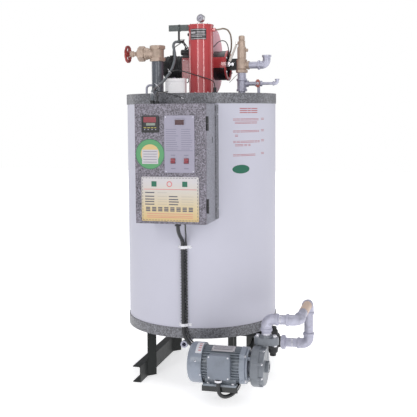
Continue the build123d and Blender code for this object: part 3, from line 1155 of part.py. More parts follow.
# Check valve: upright body with a cap above and a drain plug below
with BuildPart() as check_valve:
    body_low = FEED_LOW - 56
    turned((CHECK_X, FEED_BACK, body_low), (0, 0, 1),
           ((0, 20), (6, 24), (22, 26), (34, 33), (78, 33), (92, 26), (112, 24), (116, 20)))
    nut((CHECK_X, FEED_BACK, body_low - 16), (CHECK_X, FEED_BACK, body_low), 27)
    nut((CHECK_X, FEED_BACK, body_low + 116), (CHECK_X, FEED_BACK, body_low + 130), 32)
    rod((CHECK_X, FEED_BACK, FEED_LOW), (UNION_LEFT, FEED_BACK, FEED_LOW), FEED_COLLAR)
    rod((CHECK_X, FEED_BACK, FEED_LOW), (CHECK_X, FEED_BACK + CHECK_ARM, FEED_LOW), FEED_ELBOW)
save(check_valve, "check_valve")

with BuildPart() as inlet_pipe:
    bend((CHECK_X, INLET_Y, FEED_LOW), (0, -1, 0), (-1, 0, 0), INLET_ELBOW, INLET_TURN, INLET_ARM, INLET_ARM)
    bend((INLET_X, INLET_Y, FEED_LOW), (1, 0, 0), (0, 0, 1), INLET_ELBOW, INLET_TURN, INLET_ARM,
         DRUM_BOTTOM - FEED_LOW)
    rod((CHECK_X, FEED_BACK + CHECK_ARM, FEED_LOW), (CHECK_X, INLET_Y - INLET_ARM, FEED_LOW), INLET_PIPE)
    rod((CHECK_X - INLET_ARM, INLET_Y, FEED_LOW), (INLET_X + INLET_ARM, INLET_Y, FEED_LOW), INLET_PIPE)
save(inlet_pipe, "inlet_pipe")

# Cords
with BuildPart() as pump_conduit:
    cord("pump_conduit", PUMP_CONDUIT, CONDUIT_RADIUS)
save(pump_conduit, "pump_conduit")

with BuildPart() as burner_conduit:
    cord("burner_conduit", BURNER_CONDUIT, GREY_RADIUS)
save(burner_conduit, "burner_conduit")

with BuildPart() as black_cables:
    cord("pump_cable", PUMP_CABLE, CABLE_RADIUS)
    cord("supply_cable", SUPPLY_CABLE, CABLE_RADIUS)
save(black_cables, "black_cables")

with BuildPart() as thin_leads:
    cord("sensor_cable", SENSOR_CABLE, SENSOR_RADIUS)
    cord("tip_wire", TIP_WIRE, WIRE_RADIUS)
    for index, points in enumerate(BURNER_LEADS):
        cord(f"burner_lead_{index}", points, LEAD_RADIUS)
save(thin_leads, "thin_leads")

# Glands where the cords enter, and the seat and plug of the sensor cable
with BuildPart() as cord_fittings:
    x, y, z = PUMP_CONDUIT[0]
    nut((x, y, z), (x, y, BOX_BOTTOM), GLAND_AF)
    x, y, z = PUMP_CONDUIT[-1]
    nut((x, y, z), (x, y, TERMINAL_MID - TERMINAL_HEIGHT / 2), GLAND_AF)
    x, y, z = PUMP_CABLE[0]
    rod((x, y, z), (x, y, BOX_BOTTOM), CABLE_RADIUS + 4)
    x, y, z = PUMP_CABLE[-1]
    nut((x, y, z), (x, PUMP_Y + FRAME_RADIUS + GLAND_PROUD, z), CABLE_GLAND_AF)
    x, y, z = BURNER_CONDUIT[-1]
    nut((x, y, z), (x, y, BOX_TOP), BOX_GLAND_AF[0])
    x, y, z = SUPPLY_CABLE[-1]
    nut((x, y, z), (x, y, BOX_TOP), BOX_GLAND_AF[1])
    conduit, _ = route_of(BURNER_CONDUIT)
    for share in CUFF_SHARES:
        with BuildSketch(Plane(origin=conduit.position_at(share), z_dir=conduit.tangent_at(share))) as cuff:
            Circle(GREY_RADIUS + CUFF_GAP + CUFF_WALL)
            Circle(GREY_RADIUS + CUFF_GAP, mode=Mode.SUBTRACT)
        extrude(cuff.sketch, amount=CUFF_LENGTH / 2, both=True)
    x, y, z = SENSOR_CABLE[-1]
    rod((x, y, z), (x, y, z - PLUG_LENGTH), PLUG_RADIUS)
    rod((x, y, z - PLUG_LENGTH), (x, y, DRUM_TOP), PLUG_SEAT_RADIUS)
save(cord_fittings, "cord_fittings")

# Clips that hold both pump cords against the drum
conduit_at = PUMP_CONDUIT[UPRIGHT_RUN][:2]
cable_at = PUMP_CABLE[CABLE_UPRIGHT_RUN][:2]
with BuildPart() as drum_clips:
    for height in (CLIP_LOW, CLIP_HIGH):
        with BuildSketch(Plane.XY.offset(height - CLIP_HEIGHT / 2)) as strap:
            with Locations(conduit_at):
                Circle(CONDUIT_RADIUS + CLIP_GAP + CLIP_WALL)
            with Locations(cable_at):
                Circle(CABLE_RADIUS + CLIP_GAP + CLIP_WALL)
            make_hull()
        extrude(strap.sketch, amount=CLIP_HEIGHT)
        with BuildSketch(Plane.XY.offset(height - CLIP_HEIGHT / 2)) as ears:
            Circle(DRUM_RADIUS + CLIP_WALL)
            with Locations(((conduit_at[0] + cable_at[0]) / 2, -DRUM_RADIUS)):
                Rectangle(2 * CLIP_EAR, DRUM_RADIUS / 10, mode=Mode.INTERSECT)
        extrude(ears.sketch, amount=CLIP_HEIGHT)
        with BuildSketch(Plane.XY.offset(height - CLIP_HEIGHT / 2)) as way:
            with Locations(conduit_at):
                Circle(CONDUIT_RADIUS + CLIP_GAP)
            with Locations(cable_at):
                Circle(CABLE_RADIUS + CLIP_GAP)
            make_hull()
            Circle(DRUM_RADIUS)
        extrude(way.sketch, amount=CLIP_HEIGHT, mode=Mode.SUBTRACT)
save(drum_clips, "drum_clips")
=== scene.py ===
import bpy
import bmesh
import random
from math import cos, pi, radians, sin
from mathutils import Matrix, Vector


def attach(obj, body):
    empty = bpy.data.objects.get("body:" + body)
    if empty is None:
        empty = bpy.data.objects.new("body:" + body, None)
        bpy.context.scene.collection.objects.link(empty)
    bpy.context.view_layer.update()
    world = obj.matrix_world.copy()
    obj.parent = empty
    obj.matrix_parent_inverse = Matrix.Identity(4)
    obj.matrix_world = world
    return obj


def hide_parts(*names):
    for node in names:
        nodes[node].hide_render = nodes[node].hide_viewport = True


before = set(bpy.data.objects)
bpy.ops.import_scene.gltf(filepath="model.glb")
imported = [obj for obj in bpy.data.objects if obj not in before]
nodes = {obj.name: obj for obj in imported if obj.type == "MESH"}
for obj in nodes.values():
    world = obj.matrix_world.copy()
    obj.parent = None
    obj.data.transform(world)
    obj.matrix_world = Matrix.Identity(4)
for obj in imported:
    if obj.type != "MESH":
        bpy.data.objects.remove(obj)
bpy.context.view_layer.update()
scene = bpy.context.scene
MM = 0.001
UP = (0, 0, 1)
DOWN = (0, 0, -1)
FRONT = (0, -1, 0)
BACK = (0, 1, 0)
LEFT = (-1, 0, 0)
RIGHT = (1, 0, 0)


# Materials

class Look:
    """A node material whose textures lie in object space."""

    def __init__(self, name):
        self.material = bpy.data.materials.new(name)
        self.material.use_nodes = True
        self.tree = self.material.node_tree
        self.shader = self.tree.nodes["Principled BSDF"]
        self.place = self.make("ShaderNodeTexCoord").outputs["Object"]

    def make(self, kind, **settings):
        made = self.tree.nodes.new(kind)
        for key, value in settings.items():
            setattr(made, key, value)
        return made

    def feed(self, socket, value):
        if isinstance(value, bpy.types.NodeSocket):
            self.tree.links.new(value, socket)
        elif isinstance(value, tuple) and len(value) == 3 and len(socket.default_value) == 4:
            socket.default_value = (*value, 1)
        else:
            socket.default_value = value

    def stretched(self, scale):
        node = self.make("ShaderNodeMapping")
        self.feed(node.inputs["Vector"], self.place)
        self.feed(node.inputs["Scale"], scale)
        return node.outputs["Vector"]

    def noise(self, scale, detail=3.0, rough=0.5, at=None, warp=0.0):
        node = self.make("ShaderNodeTexNoise")
        self.feed(node.inputs["Vector"], at or self.place)
        self.feed(node.inputs["Scale"], float(scale))
        self.feed(node.inputs["Detail"], float(detail))
        self.feed(node.inputs["Roughness"], rough)
        self.feed(node.inputs["Distortion"], warp)
        return node.outputs["Fac"]

    def cells(self, scale, feature="F1", out="Distance"):
        node = self.make("ShaderNodeTexVoronoi", feature=feature)
        self.feed(node.inputs["Vector"], self.place)
        self.feed(node.inputs["Scale"], float(scale))
        return node.outputs[out]

    def axis(self, name, at=None):
        node = self.make("ShaderNodeSeparateXYZ")
        self.feed(node.inputs[0], at or self.place)
        return node.outputs[name]

    def calc(self, operation, a, b=0.0):
        node = self.make("ShaderNodeMath", operation=operation)
        self.feed(node.inputs[0], a)
        self.feed(node.inputs[1], b)
        return node.outputs[0]

    def spread(self, value, low, high):
        """A value from 0 to 1 laid between low and high."""
        return self.calc("ADD", self.calc("MULTIPLY", value, high - low), low)

    def ramp(self, value, *stops):
        node = self.make("ShaderNodeValToRGB")
        self.feed(node.inputs[0], value)
        bar = node.color_ramp.elements
        while len(bar) < len(stops):
            bar.new(0.5)
        for element, (position, shade) in zip(bar, stops):
            element.position = position
            element.color = (*shade, 1) if isinstance(shade, tuple) else (shade, shade, shade, 1)
        return node.outputs["Color"]

    def mix(self, factor, a, b):
        node = self.make("ShaderNodeMix", data_type="RGBA")
        self.feed(node.inputs[0], factor)
        self.feed(node.inputs[6], a)
        self.feed(node.inputs[7], b)
        return node.outputs[2]

    def bump(self, height, strength, distance, under=None):
        node = self.make("ShaderNodeBump")
        self.feed(node.inputs["Height"], height)
        self.feed(node.inputs["Strength"], strength)
        self.feed(node.inputs["Distance"], distance)
        if under is not None:
            self.feed(node.inputs["Normal"], under)
        return node.outputs["Normal"]

    def set(self, **values):
        names = {"color": "Base Color", "rough": "Roughness", "metal": "Metallic", "coat": "Coat Weight",
                 "coat_rough": "Coat Roughness", "normal": "Normal", "spec": "Specular IOR Level",
                 "glow": "Emission Color", "glow_strength": "Emission Strength"}
        for key, value in values.items():
            self.feed(self.shader.inputs[names[key]], value)
        return self.material


def shade(color, share):
    return tuple(min(1.0, c * share) for c in color)


def drum_white():
    """Matt white enamel with soft clouds, long faint runs near the foot and a light orange peel."""
    look = Look("drum_white")
    base = (0.561, 0.560, 0.647)
    color = look.mix(look.ramp(look.noise(2.4, 4, 0.6), (0.3, 0.0), (0.8, 1.0)), base, shade(base, 0.95))
    runs = look.ramp(look.noise(14, 5, 0.7, look.stretched((1, 1, 0.12))), (0.60, 0.0), (0.86, 0.35))
    foot = look.ramp(look.axis("Z"), (0.238, 1.0), (0.45, 0.0))
    color = look.mix(look.calc("MULTIPLY", runs, foot), color, (0.42, 0.41, 0.42))
    peel = look.bump(look.noise(380, 2), 0.06, 0.0006)
    wave = look.bump(look.noise(3.2, 2, at=look.stretched((1, 1, 0.4))), 0.12, 0.006, peel)
    return look.set(color=color, rough=look.spread(look.noise(30, 3), 0.42, 0.54), normal=wave, spec=0.35)


def hammered(name, mean, contrast=0.5, scale=300):
    """Hammertone paint: dark veins round lighter dimples."""
    look = Look(name)
    grain = look.noise(scale, 3, 0.62, warp=0.6)
    dimple = look.cells(scale * 0.55, "SMOOTH_F1")
    mixed = look.calc("ADD", look.calc("MULTIPLY", grain, 0.72), look.calc("MULTIPLY", dimple, 0.35))
    fleck = look.ramp(mixed, (0.40, 0.0), (0.51, 0.5), (0.62, 1.0))
    color = look.mix(fleck, shade(mean, 1 - contrast), shade(mean, 1 + contrast))
    cloud = look.ramp(look.noise(9, 3), (0.3, 0.0), (0.75, 0.18))
    color = look.mix(cloud, color, shade(mean, 0.75))
    return look.set(color=color, rough=look.spread(grain, 0.34, 0.56), metal=0.15, coat=0.15, coat_rough=0.3,
                    normal=look.bump(mixed, 0.35, 0.0009))


def enamel(name, base, rough=0.26, wave=0.10, coat=0.35):
    """Smooth sprayed paint with a fine orange peel and a faint change of tone."""
    look = Look(name)
    color = look.mix(look.ramp(look.noise(7, 4, 0.6), (0.35, 0.0), (0.75, 1.0)), base, shade(base, 0.86))
    dust = look.ramp(look.noise(38, 5, 0.7), (0.56, 0.0), (0.84, 0.22))
    color = look.mix(dust, color, tuple(c * 0.6 + 0.12 for c in base))
    peel = look.bump(look.noise(420, 2), wave, 0.0006)
    soft = look.bump(look.noise(6, 2), wave, 0.004, peel)
    satin = look.spread(look.noise(40, 3), rough * 0.8, rough * 1.2)
    gloss = look.calc("ADD", satin, look.calc("MULTIPLY", dust, 0.5))
    return look.set(color=color, rough=gloss, normal=soft, coat=coat, coat_rough=0.12)


def machine_paint(name, base, rough=0.42, grime=(0.05, 0.06, 0.065), worn=0.5):
    """Thick satin paint on castings, with a sandy skin, dirt in patches and paler rubbed spots."""
    look = Look(name)
    patches = look.noise(16, 5, 0.65)
    dirt = look.ramp(patches, (0.52, 0.0), (0.78, worn))
    rubbed = look.ramp(look.noise(70, 4, 0.7), (0.60, 0.0), (0.80, 0.35))
    color = look.mix(dirt, look.mix(look.noise(60, 3), base, shade(base, 1.16)), grime)
    color = look.mix(rubbed, color, tuple(c * 0.7 + 0.16 for c in base))
    skin = look.bump(look.noise(240, 3, 0.6), 0.18, 0.0008)
    lumps = look.bump(look.noise(45, 2), 0.2, 0.002, skin)
    return look.set(color=color, rough=look.spread(patches, rough - 0.1, rough + 0.2), normal=lumps, coat=0.4,
                    coat_rough=0.16)


def zinc(name, base, rough=0.42, spangle=70):
    """Galvanised iron: a crystal pattern in tone and gloss under a thin dull film."""
    look = Look(name)
    flake = look.axis("X", look.cells(spangle, "F1", "Color"))
    color = look.mix(flake, shade(base, 0.78), base)
    film = look.ramp(look.noise(28, 5, 0.7), (0.45, 0.0), (0.75, 0.55))
    color = look.mix(film, color, tuple(c * 0.85 + 0.03 for c in base))
    shine = look.spread(flake, rough - 0.06, rough + 0.10)
    gloss = look.calc("ADD", shine, look.calc("MULTIPLY", film, 0.15))
    skin = look.bump(look.noise(190, 4, 0.6), 0.22, 0.0008)
    return look.set(color=color, rough=gloss, metal=0.45, normal=skin)


def cast(name, base, rough, metal, pits=0.35, stain=None):
    """Sand-cast metal with a grainy skin and darker hollows."""
    look = Look(name)
    hollows = look.ramp(look.noise(34, 5, 0.7), (0.42, 0.0), (0.74, 0.8))
    color = look.mix(hollows, base, stain or shade(base, 0.6))
    grain = look.noise(310, 4, 0.65)
    return look.set(color=color, rough=look.spread(grain, rough - 0.1, rough + 0.1), metal=metal,
                    normal=look.bump(grain, pits, 0.0009))


def brushed(name, base, rough=0.3, along=(1, 1, 30)):
    """Drawn or rolled metal with fine lines."""
    look = Look(name)
    lines = look.noise(90, 3, 0.6, look.stretched(along))
    return look.set(color=look.mix(lines, shade(base, 0.8), base), metal=0.85,
                    rough=look.spread(lines, rough - 0.1, rough + 0.1), normal=look.bump(lines, 0.12, 0.0003))


def moulded(name, base, rough=0.42, coat=0.0, glow=0.0):
    """Moulded plastic or rubber with a fine matt grain. Where glow is set, it adds a painted glow of its own
    colour that lifts a part standing in shade.
    """
    look = Look(name)
    tone = look.noise(22, 3)
    color = look.mix(look.calc("MULTIPLY", tone, 0.3), base, tuple(min(1.0, c * 1.2 + 0.01) for c in base))
    grain = look.noise(900, 2, 0.5)
    return look.set(color=color, rough=look.spread(grain, rough - 0.06, rough + 0.06),
                    normal=look.bump(grain, 0.12, 0.0003), coat=coat, coat_rough=0.15, glow=color,
                    glow_strength=glow)


def printed(name, base, rough=0.4):
    """A printed metal plate or film."""
    look = Look(name)
    tone = look.noise(60, 4, 0.6)
    color = look.mix(look.calc("MULTIPLY", tone, 0.25), base, shade(base, 0.86))
    return look.set(color=color, rough=look.spread(tone, rough - 0.05, rough + 0.07), coat=0.12,
                    coat_rough=0.2, normal=look.bump(look.noise(500, 2), 0.05, 0.0003))


def door_label():
    """A printed sheet, white at its top and running to yellow at its foot."""
    look = Look("door_label")
    color = look.ramp(look.axis("Z"), (0.819, (0.58, 0.41, 0.16)), (0.88, (0.59, 0.48, 0.28)),
                      (0.95, (0.56, 0.52, 0.47)), (1.0, (0.55, 0.53, 0.56)))
    tone = look.noise(70, 3)
    color = look.mix(look.calc("MULTIPLY", tone, 0.2), color, (0.62, 0.55, 0.44))
    return look.set(color=color, rough=look.spread(tone, 0.35, 0.45), coat=0.12, coat_rough=0.2)


def lamp(name, base, glow):
    """A lit window of a display."""
    look = Look(name)
    return look.set(color=look.mix(look.noise(200, 2), base, shade(base, 0.7)), rough=0.25, glow=base,
                    glow_strength=glow, coat=0.4, coat_rough=0.05)


LOOKS = {
    "white": drum_white(),
    "hammered": hammered("hammered_door", (0.165, 0.153, 0.185), 0.72, 290),
    "case": hammered("hammered_case", (0.245, 0.246, 0.286), 0.4),
    "band": hammered("hammered_band", (0.162, 0.164, 0.181), 0.6, 240),
    "bar": hammered("hammered_bar", (0.085, 0.10, 0.10), 0.35),
    "stand": enamel("stand_black", (0.008, 0.011, 0.010), 0.45, coat=0.0),
    "base": enamel("base_black", (0.012, 0.014, 0.014), 0.30),
    "red": enamel("burner_red", (0.555, 0.062, 0.070), 0.20, coat=0.8),
    # The scroll's pale pink colour is painted reflection: the tube's red paint, lightened as if it reflected
    # the white surround
    "scroll": enamel("scroll_red_painted_reflection", (0.800, 0.398, 0.465), 0.34),
    "adapter": enamel("adapter_red", (0.42, 0.09, 0.10), 0.28),
    "wheel": cast("wheel_red", (0.34, 0.035, 0.03), 0.42, 0.1, 0.2, (0.20, 0.02, 0.02)),
    "riser": enamel("riser_black", (0.117, 0.131, 0.158), 0.24),
    "inlet": enamel("inlet_black", (0.012, 0.010, 0.012), 0.22),
    "iron": cast("black_iron", (0.022, 0.024, 0.026), 0.50, 0.2, 0.3),
    "cowl": machine_paint("cowl_paint", (0.228, 0.257, 0.314), worn=0.35),
    "fins": machine_paint("fin_paint", (0.216, 0.243, 0.279), worn=0.6),
    "terminal": machine_paint("terminal_paint", (0.169, 0.192, 0.235), worn=0.35),
    "bell": machine_paint("bell_paint", (0.237, 0.266, 0.318)),
    "casing": machine_paint("casing_paint", (0.152, 0.167, 0.191)),
    "zinc": zinc("galvanised", (0.514, 0.514, 0.621)),
    "steel": brushed("plain_steel", (0.55, 0.55, 0.56)),
    "lever": brushed("lever_steel", (0.36, 0.33, 0.31), 0.35),
    "bright": brushed("bright_zinc", (0.80, 0.80, 0.84), 0.26),
    "brass": cast("cast_brass", (0.498, 0.385, 0.314), 0.46, 0.35, 0.3, (0.34, 0.26, 0.20)),
    "copper": cast("pipe_copper", (0.30, 0.25, 0.20), 0.36, 0.6, 0.05, (0.22, 0.15, 0.10)),
    # The relay's glow is painted light: it lifts the white box out of the shade where it stands on the top
    # plate
    "relay": moulded("relay_white_painted_glow", (0.93, 0.93, 0.95), 0.38, glow=0.22),
    "clip": moulded("clip_white", (0.78, 0.78, 0.82), 0.38),
    "black": moulded("moulded_black", (0.018, 0.019, 0.020), 0.40),
    "vent_red": moulded("vent_red", (0.34, 0.06, 0.035), 0.3, 0.3),
    "rocker": moulded("rocker_red", (0.22, 0.03, 0.045), 0.25, 0.4),
    "cord": moulded("cord_black", (0.018, 0.019, 0.021), 0.34, 0.2),
    "cord_gloss": moulded("cord_gloss", (0.010, 0.011, 0.012), 0.18, 0.5),
    "cord_grey": moulded("cord_grey", (0.12, 0.135, 0.15), 0.36, 0.2),
    "heat_sleeve": moulded("heat_sleeve_tan", (0.66, 0.50, 0.40), 0.5),
    "panel": printed("panel_pale", (0.315, 0.300, 0.383)),
    "door_label": door_label(),
    "sticker": printed("sticker_pale", (0.70, 0.70, 0.74)),
    "green": printed("sticker_green", (0.09, 0.30, 0.13)),
    "sticker_white": printed("sticker_white", (0.52, 0.50, 0.53)),
    "yellow": printed("sticker_yellow", (0.62, 0.45, 0.20)),
    "ink_dark": printed("ink_dark", (0.09, 0.09, 0.12)),
    "ink_soft": printed("ink_soft", (0.34, 0.31, 0.28)),
    "ink_grey": printed("ink_grey", (0.36, 0.34, 0.43)),
    "ink_panel": printed("ink_panel", (0.17, 0.16, 0.22)),
    "ink_rim": printed("ink_rim", (0.03, 0.13, 0.07)),
    "ink_red": printed("ink_red", (0.60, 0.16, 0.17)),
    "ink_pink": printed("ink_pink", (0.42, 0.15, 0.17)),
    "ink_green": printed("ink_green", (0.012, 0.13, 0.078)),
    "ink_yellow": printed("ink_yellow", (0.55, 0.45, 0.08)),
    "plate_black": printed("plate_black", (0.035, 0.033, 0.036), 0.3),
    "plate_silver": printed("plate_silver", (0.50, 0.48, 0.50), 0.3),
    "dial": printed("dial_white", (0.48, 0.48, 0.55), 0.3),
    "window": moulded("window_dark", (0.07, 0.03, 0.035), 0.12, 0.6),
    "lit_red": lamp("lit_red", (0.25, 0.035, 0.05), 0.10),
    "lit_green": lamp("lit_green", (0.24, 0.28, 0.24), 0.1),
}

WEAR = {
    "white": ["drum_shell"],
    "hammered": ["control_box_door"],
    "case": ["control_box"],
    "band": ["drum_bands", "top_plate", "bottom_plate", "box_bracket"],
    "bar": ["support_bar"],
    "stand": ["skid_left", "skid_right", "legs"],
    "base": ["pump_base"],
    "red": ["burner_housing", "air_damper"],
    "scroll": ["burner_scroll"],
    "adapter": ["motor_adapter"],
    "wheel": ["steam_handwheel"],
    "riser": ["steam_riser"],
    "inlet": ["air_inlet"],
    "iron": ["fuel_pump", "burner_motor", "check_valve", "inlet_pipe"],
    "cowl": ["pump_motor_cowl"],
    "fins": ["pump_motor_frame"],
    "terminal": ["pump_terminal_box"],
    "bell": ["pump_motor_bell"],
    "casing": ["pump_casing", "discharge_flange"],
    "zinc": ["blowdown_pipe", "siphon_tube", "safety_riser", "safety_outlet", "vent_valve", "feed_fittings",
             "feed_pipes"],
    "steel": ["pressure_gauge"],
    "lever": ["safety_lever"],
    "brass": ["steam_valve_body", "steam_valve_bonnet", "safety_valve_body", "safety_valve_bonnet"],
    "copper": ["fuel_pipe"],
    "relay": ["relay_box"],
    "clip": ["drum_clips"],
    "black": ["box_hinges", "door_hinges", "temperature_controller", "ignition_unit", "cord_fittings"],
    "rocker": ["rocker_left", "rocker_right"],
    "vent_red": ["vent_handle"],
    "panel": ["switch_panel"],
    "cord": ["pump_conduit", "black_cables", "thin_leads"],
    "cord_grey": ["burner_conduit"],
}
for look_name, wearers in WEAR.items():
    for wearer in wearers:
        slots = nodes[wearer].data.materials
        slots.clear()
        slots.append(LOOKS[look_name])


# Mesh helpers: every builder works in millimetres in the row frame

def frame_at(place, toward, across=None):
    """A matrix with its origin at place, its Z toward, and its X as near across as it can be."""
    z = Vector(toward).normalized()
    x = Vector(across or (UP if abs(z.z) < 0.9 else RIGHT))
    x = (x - z * x.dot(z)).normalized()
    return Matrix.Translation(place) @ Matrix((x, z.cross(x), z)).transposed().to_4x4()


def piece(name, build, look, body="root", sharp=35):
    """A new object from a builder that fills a mesh in millimetres."""
    mesh = bpy.data.meshes.new(name)
    bm = bmesh.new()
    build(bm)
    bmesh.ops.recalc_face_normals(bm, faces=bm.faces)
    bmesh.ops.scale(bm, vec=(MM, MM, MM), verts=bm.verts)
    bm.to_mesh(mesh)
    bm.free()
    made = bpy.data.objects.new(name, mesh)
    scene.collection.objects.link(made)
    mesh.materials.append(LOOKS[look])
    mesh.polygons.foreach_set("use_smooth", [True] * len(mesh.polygons))
    mesh.set_sharp_from_angle(angle=radians(sharp))
    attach(made, body)
    return made


def grid(xs, ys, zs):
    return [(x, y, z) for x in xs for y in ys for z in zs]


def ring_points(centre, toward, radius, count, start=0.0):
    """Places spread evenly round a circle."""
    at = frame_at(centre, toward)
    angles = [radians(start + 360 * i / count) for i in range(count)]
    return [at @ Vector((radius * cos(angle), radius * sin(angle), 0)) for angle in angles]


def barrel(bm, place, toward, length, radius, end_radius=None, steps=24):
    """A closed cylinder or cone that starts at place."""
    end_radius = radius if end_radius is None else end_radius
    at = frame_at(Vector(place) + Vector(toward).normalized() * length / 2, toward)
    bmesh.ops.create_cone(bm, cap_ends=True, segments=steps, radius1=radius, radius2=end_radius, depth=length,
                          matrix=at)


def turned(bm, place, toward, profile, steps=32):
    """A turned form. Its profile, closed or from axis to axis, lists distance along the axis and radius."""
    at = frame_at(place, toward)
    verts = [bm.verts.new(at @ Vector((radius, 0, along))) for along, radius in profile]
    edges = [bm.edges.new(pair) for pair in zip(verts, verts[1:])]
    bmesh.ops.spin(bm, geom=verts + edges, cent=at.translation, axis=Vector(toward).normalized(),
                   angle=2 * pi, steps=steps, use_merge=True, use_duplicate=False)
    bmesh.ops.remove_doubles(bm, verts=bm.verts, dist=0.001)


def ring(bm, place, toward, length, inner, outer, steps=40):
    """A closed ring of rectangular section."""
    turned(bm, place, toward, ((0, inner), (0, outer), (length, outer), (length, inner), (0, inner)), steps)


def rings(bm, table):
    for place, toward, length, inner, outer in table:
        ring(bm, place, toward, length, inner, outer)


def curved(bm, box, radius, thick, place=(0, 0, 0), axis=UP, start=FRONT):
    """A thin sheet laid round a cylinder. The box is (first angle, last angle, low, high) along the axis."""
    first, last, low, high = box
    at = frame_at(place, axis, start) @ Matrix.Rotation(radians(first), 4, "Z")
    section = ((radius, low), (radius + thick, low), (radius + thick, high), (radius, high))
    face = bm.faces.new([bm.verts.new(at @ Vector((out, 0, along))) for out, along in section])
    bmesh.ops.spin(bm, geom=[*face.verts, *face.edges, face], cent=place, axis=axis,
                   angle=radians(last - first), steps=max(1, round(abs(last - first) / 4)),
                   use_merge=False, use_duplicate=False)


def edges_of(verts):
    """The edges that meet these vertices, each once and in the same order on each run."""
    return list(dict.fromkeys(e for v in verts for e in v.link_edges))


def bridged(bm, hoops):
    """Faces between each hoop of edges and the next."""
    for a, b in zip(hoops, hoops[1:]):
        bmesh.ops.bridge_loops(bm, edges=a + b)


def slab(bm, low, high, soften=0.0):
    """A block between two corners, with softened edges."""
    size = Vector(high) - Vector(low)
    at = Matrix.Translation((Vector(high) + Vector(low)) / 2) @ Matrix.Diagonal((*size, 1))
    made = bmesh.ops.create_cube(bm, size=1, matrix=at)
    if soften:
        bmesh.ops.bevel(bm, geom=edges_of(made["verts"]), offset=soften, segments=2, affect="EDGES",
                        profile=0.5, material=-1)


def bar_at(bm, at, x, y, width, height, thick):
    """A flat block in a local plane, centred on x and y."""
    bmesh.ops.create_cube(bm, size=1, matrix=at @ Matrix.Translation((x, y, thick / 2))
                          @ Matrix.Diagonal((width, height, thick, 1)))


def sheet_of(bm, outline, thick, at):
    """A flat plate from a closed outline in the local XY plane, thickened along local Z."""
    face = bm.faces.new([bm.verts.new(at @ Vector((x, y, 0))) for x, y in outline])
    made = bmesh.ops.extrude_face_region(bm, geom=[face])["geom"]
    lift = at.to_3x3() @ Vector((0, 0, thick))
    bmesh.ops.translate(bm, vec=lift, verts=[g for g in made if isinstance(g, bmesh.types.BMVert)])


def rounded(width, height, radius, steps=5):
    """The outline of a rectangle with rounded corners, about its centre."""
    points = []
    for corner, (sx, sy) in enumerate(((1, 1), (-1, 1), (-1, -1), (1, -1))):
        for step in range(steps + 1):
            angle = radians(90 * corner + 90 * step / steps)
            points.append((sx * (width / 2 - radius) + radius * cos(angle),
                           sy * (height / 2 - radius) + radius * sin(angle)))
    return points


def bolt(bm, place, toward, across, head, washer, turn=0.0):
    """A hexagon bolt head on its washer."""
    way = Vector(toward).normalized()
    start = Vector(place)
    barrel(bm, start, way, washer, across * 0.82)
    at = frame_at(start + way * (washer + head / 2), way) @ Matrix.Rotation(radians(turn), 4, "Z")
    corner = across / 1.732
    made = bmesh.ops.create_cone(bm, cap_ends=True, segments=6, radius1=corner, radius2=corner, depth=head,
                                 matrix=at)
    top = [e for e in edges_of(made["verts"])
           if all((v.co - start).dot(way) > washer + head * 0.9 for v in e.verts)]
    bmesh.ops.bevel(bm, geom=top, offset=across * 0.07, segments=2, affect="EDGES", profile=0.5, material=-1)


def pan_screw(bm, place, toward, radius, height, turn):
    """A round-headed screw with a raised cross in its head."""
    profile = ((0, 0), (0, radius), (height * 0.45, radius * 0.97), (height * 0.85, radius * 0.7),
               (height, radius * 0.35), (height, 0))
    turned(bm, place, toward, profile, 20)
    at = frame_at(Vector(place) + Vector(toward).normalized() * height, toward)
    for quarter in (0, 90):
        spun = at @ Matrix.Rotation(radians(turn + quarter), 4, "Z")
        bar_at(bm, spun, 0, 0, radius * 1.1, radius * 0.24, 0.12)


def bolts(bm, places, toward, **size):
    for place in places:
        bolt(bm, place, toward, **size)


def screws(bm, places, toward, **size):
    for place in places:
        pan_screw(bm, place, toward, **size)


def sleeve(bm, places, radii, steps=16):
    """A closed tube along points, with a radius at each."""
    side = None
    hoops = []
    for index, (place, radius) in enumerate(zip(places, radii)):
        before = places[max(0, index - 1)]
        after = places[min(len(places) - 1, index + 1)]
        way = (after - before).normalized()
        side = side - way * side.dot(way) if side else way.orthogonal()
        side.normalize()
        at = Matrix.Translation(place) @ Matrix((side.cross(way), side, way)).transposed().to_4x4()
        made = bmesh.ops.create_circle(bm, segments=steps, radius=radius, matrix=at,
                                       cap_ends=index in (0, len(places) - 1))
        hoops.append(edges_of(made["verts"]))
    bridged(bm, hoops)


def bead(bm, start, end, radius, seed, pitch=3.0):
    """A weld bead of uneven scales from start to end."""
    dice = random.Random(seed)
    run = Vector(end) - Vector(start)
    count = max(4, round(run.length / pitch))
    places = [Vector(start) + run * (i / count) + Vector([dice.uniform(-0.4, 0.4) for _ in range(3)])
              for i in range(count + 1)]
    radii = [radius * (0.85 + 0.35 * (i % 2)) * dice.uniform(0.9, 1.1) for i in range(count + 1)]
    sleeve(bm, places, radii, 10)


# Cords: each route has the same points as the matching cord in model.glb, in metres

PUMP_CONDUIT = [
    (0.012, -0.480, 0.793), (0.012, -0.480, 0.778), (0.0118, -0.473, 0.763), (0.011, -0.457, 0.747),
    (0.0095, -0.430, 0.730), (0.008, -0.405, 0.716), (0.0072, -0.391, 0.704), (0.007, -0.386, 0.690),
    (0.007, -0.386, 0.297), (0.009, -0.393, 0.277), (0.017, -0.400, 0.254), (0.034, -0.406, 0.232),
    (0.062, -0.412, 0.211), (0.097, -0.416, 0.189), (0.132, -0.417, 0.165), (0.170, -0.416, 0.140),
    (0.208, -0.414, 0.121), (0.242, -0.413, 0.111), (0.268, -0.414, 0.097), (0.284, -0.420, 0.074),
    (0.290, -0.446, 0.060), (0.290, -0.488, 0.055), (0.288, -0.530, 0.053), (0.280, -0.570, 0.051),
    (0.262, -0.599, 0.050), (0.242, -0.611, 0.057), (0.230, -0.613, 0.076), (0.230, -0.613, 0.119),
]
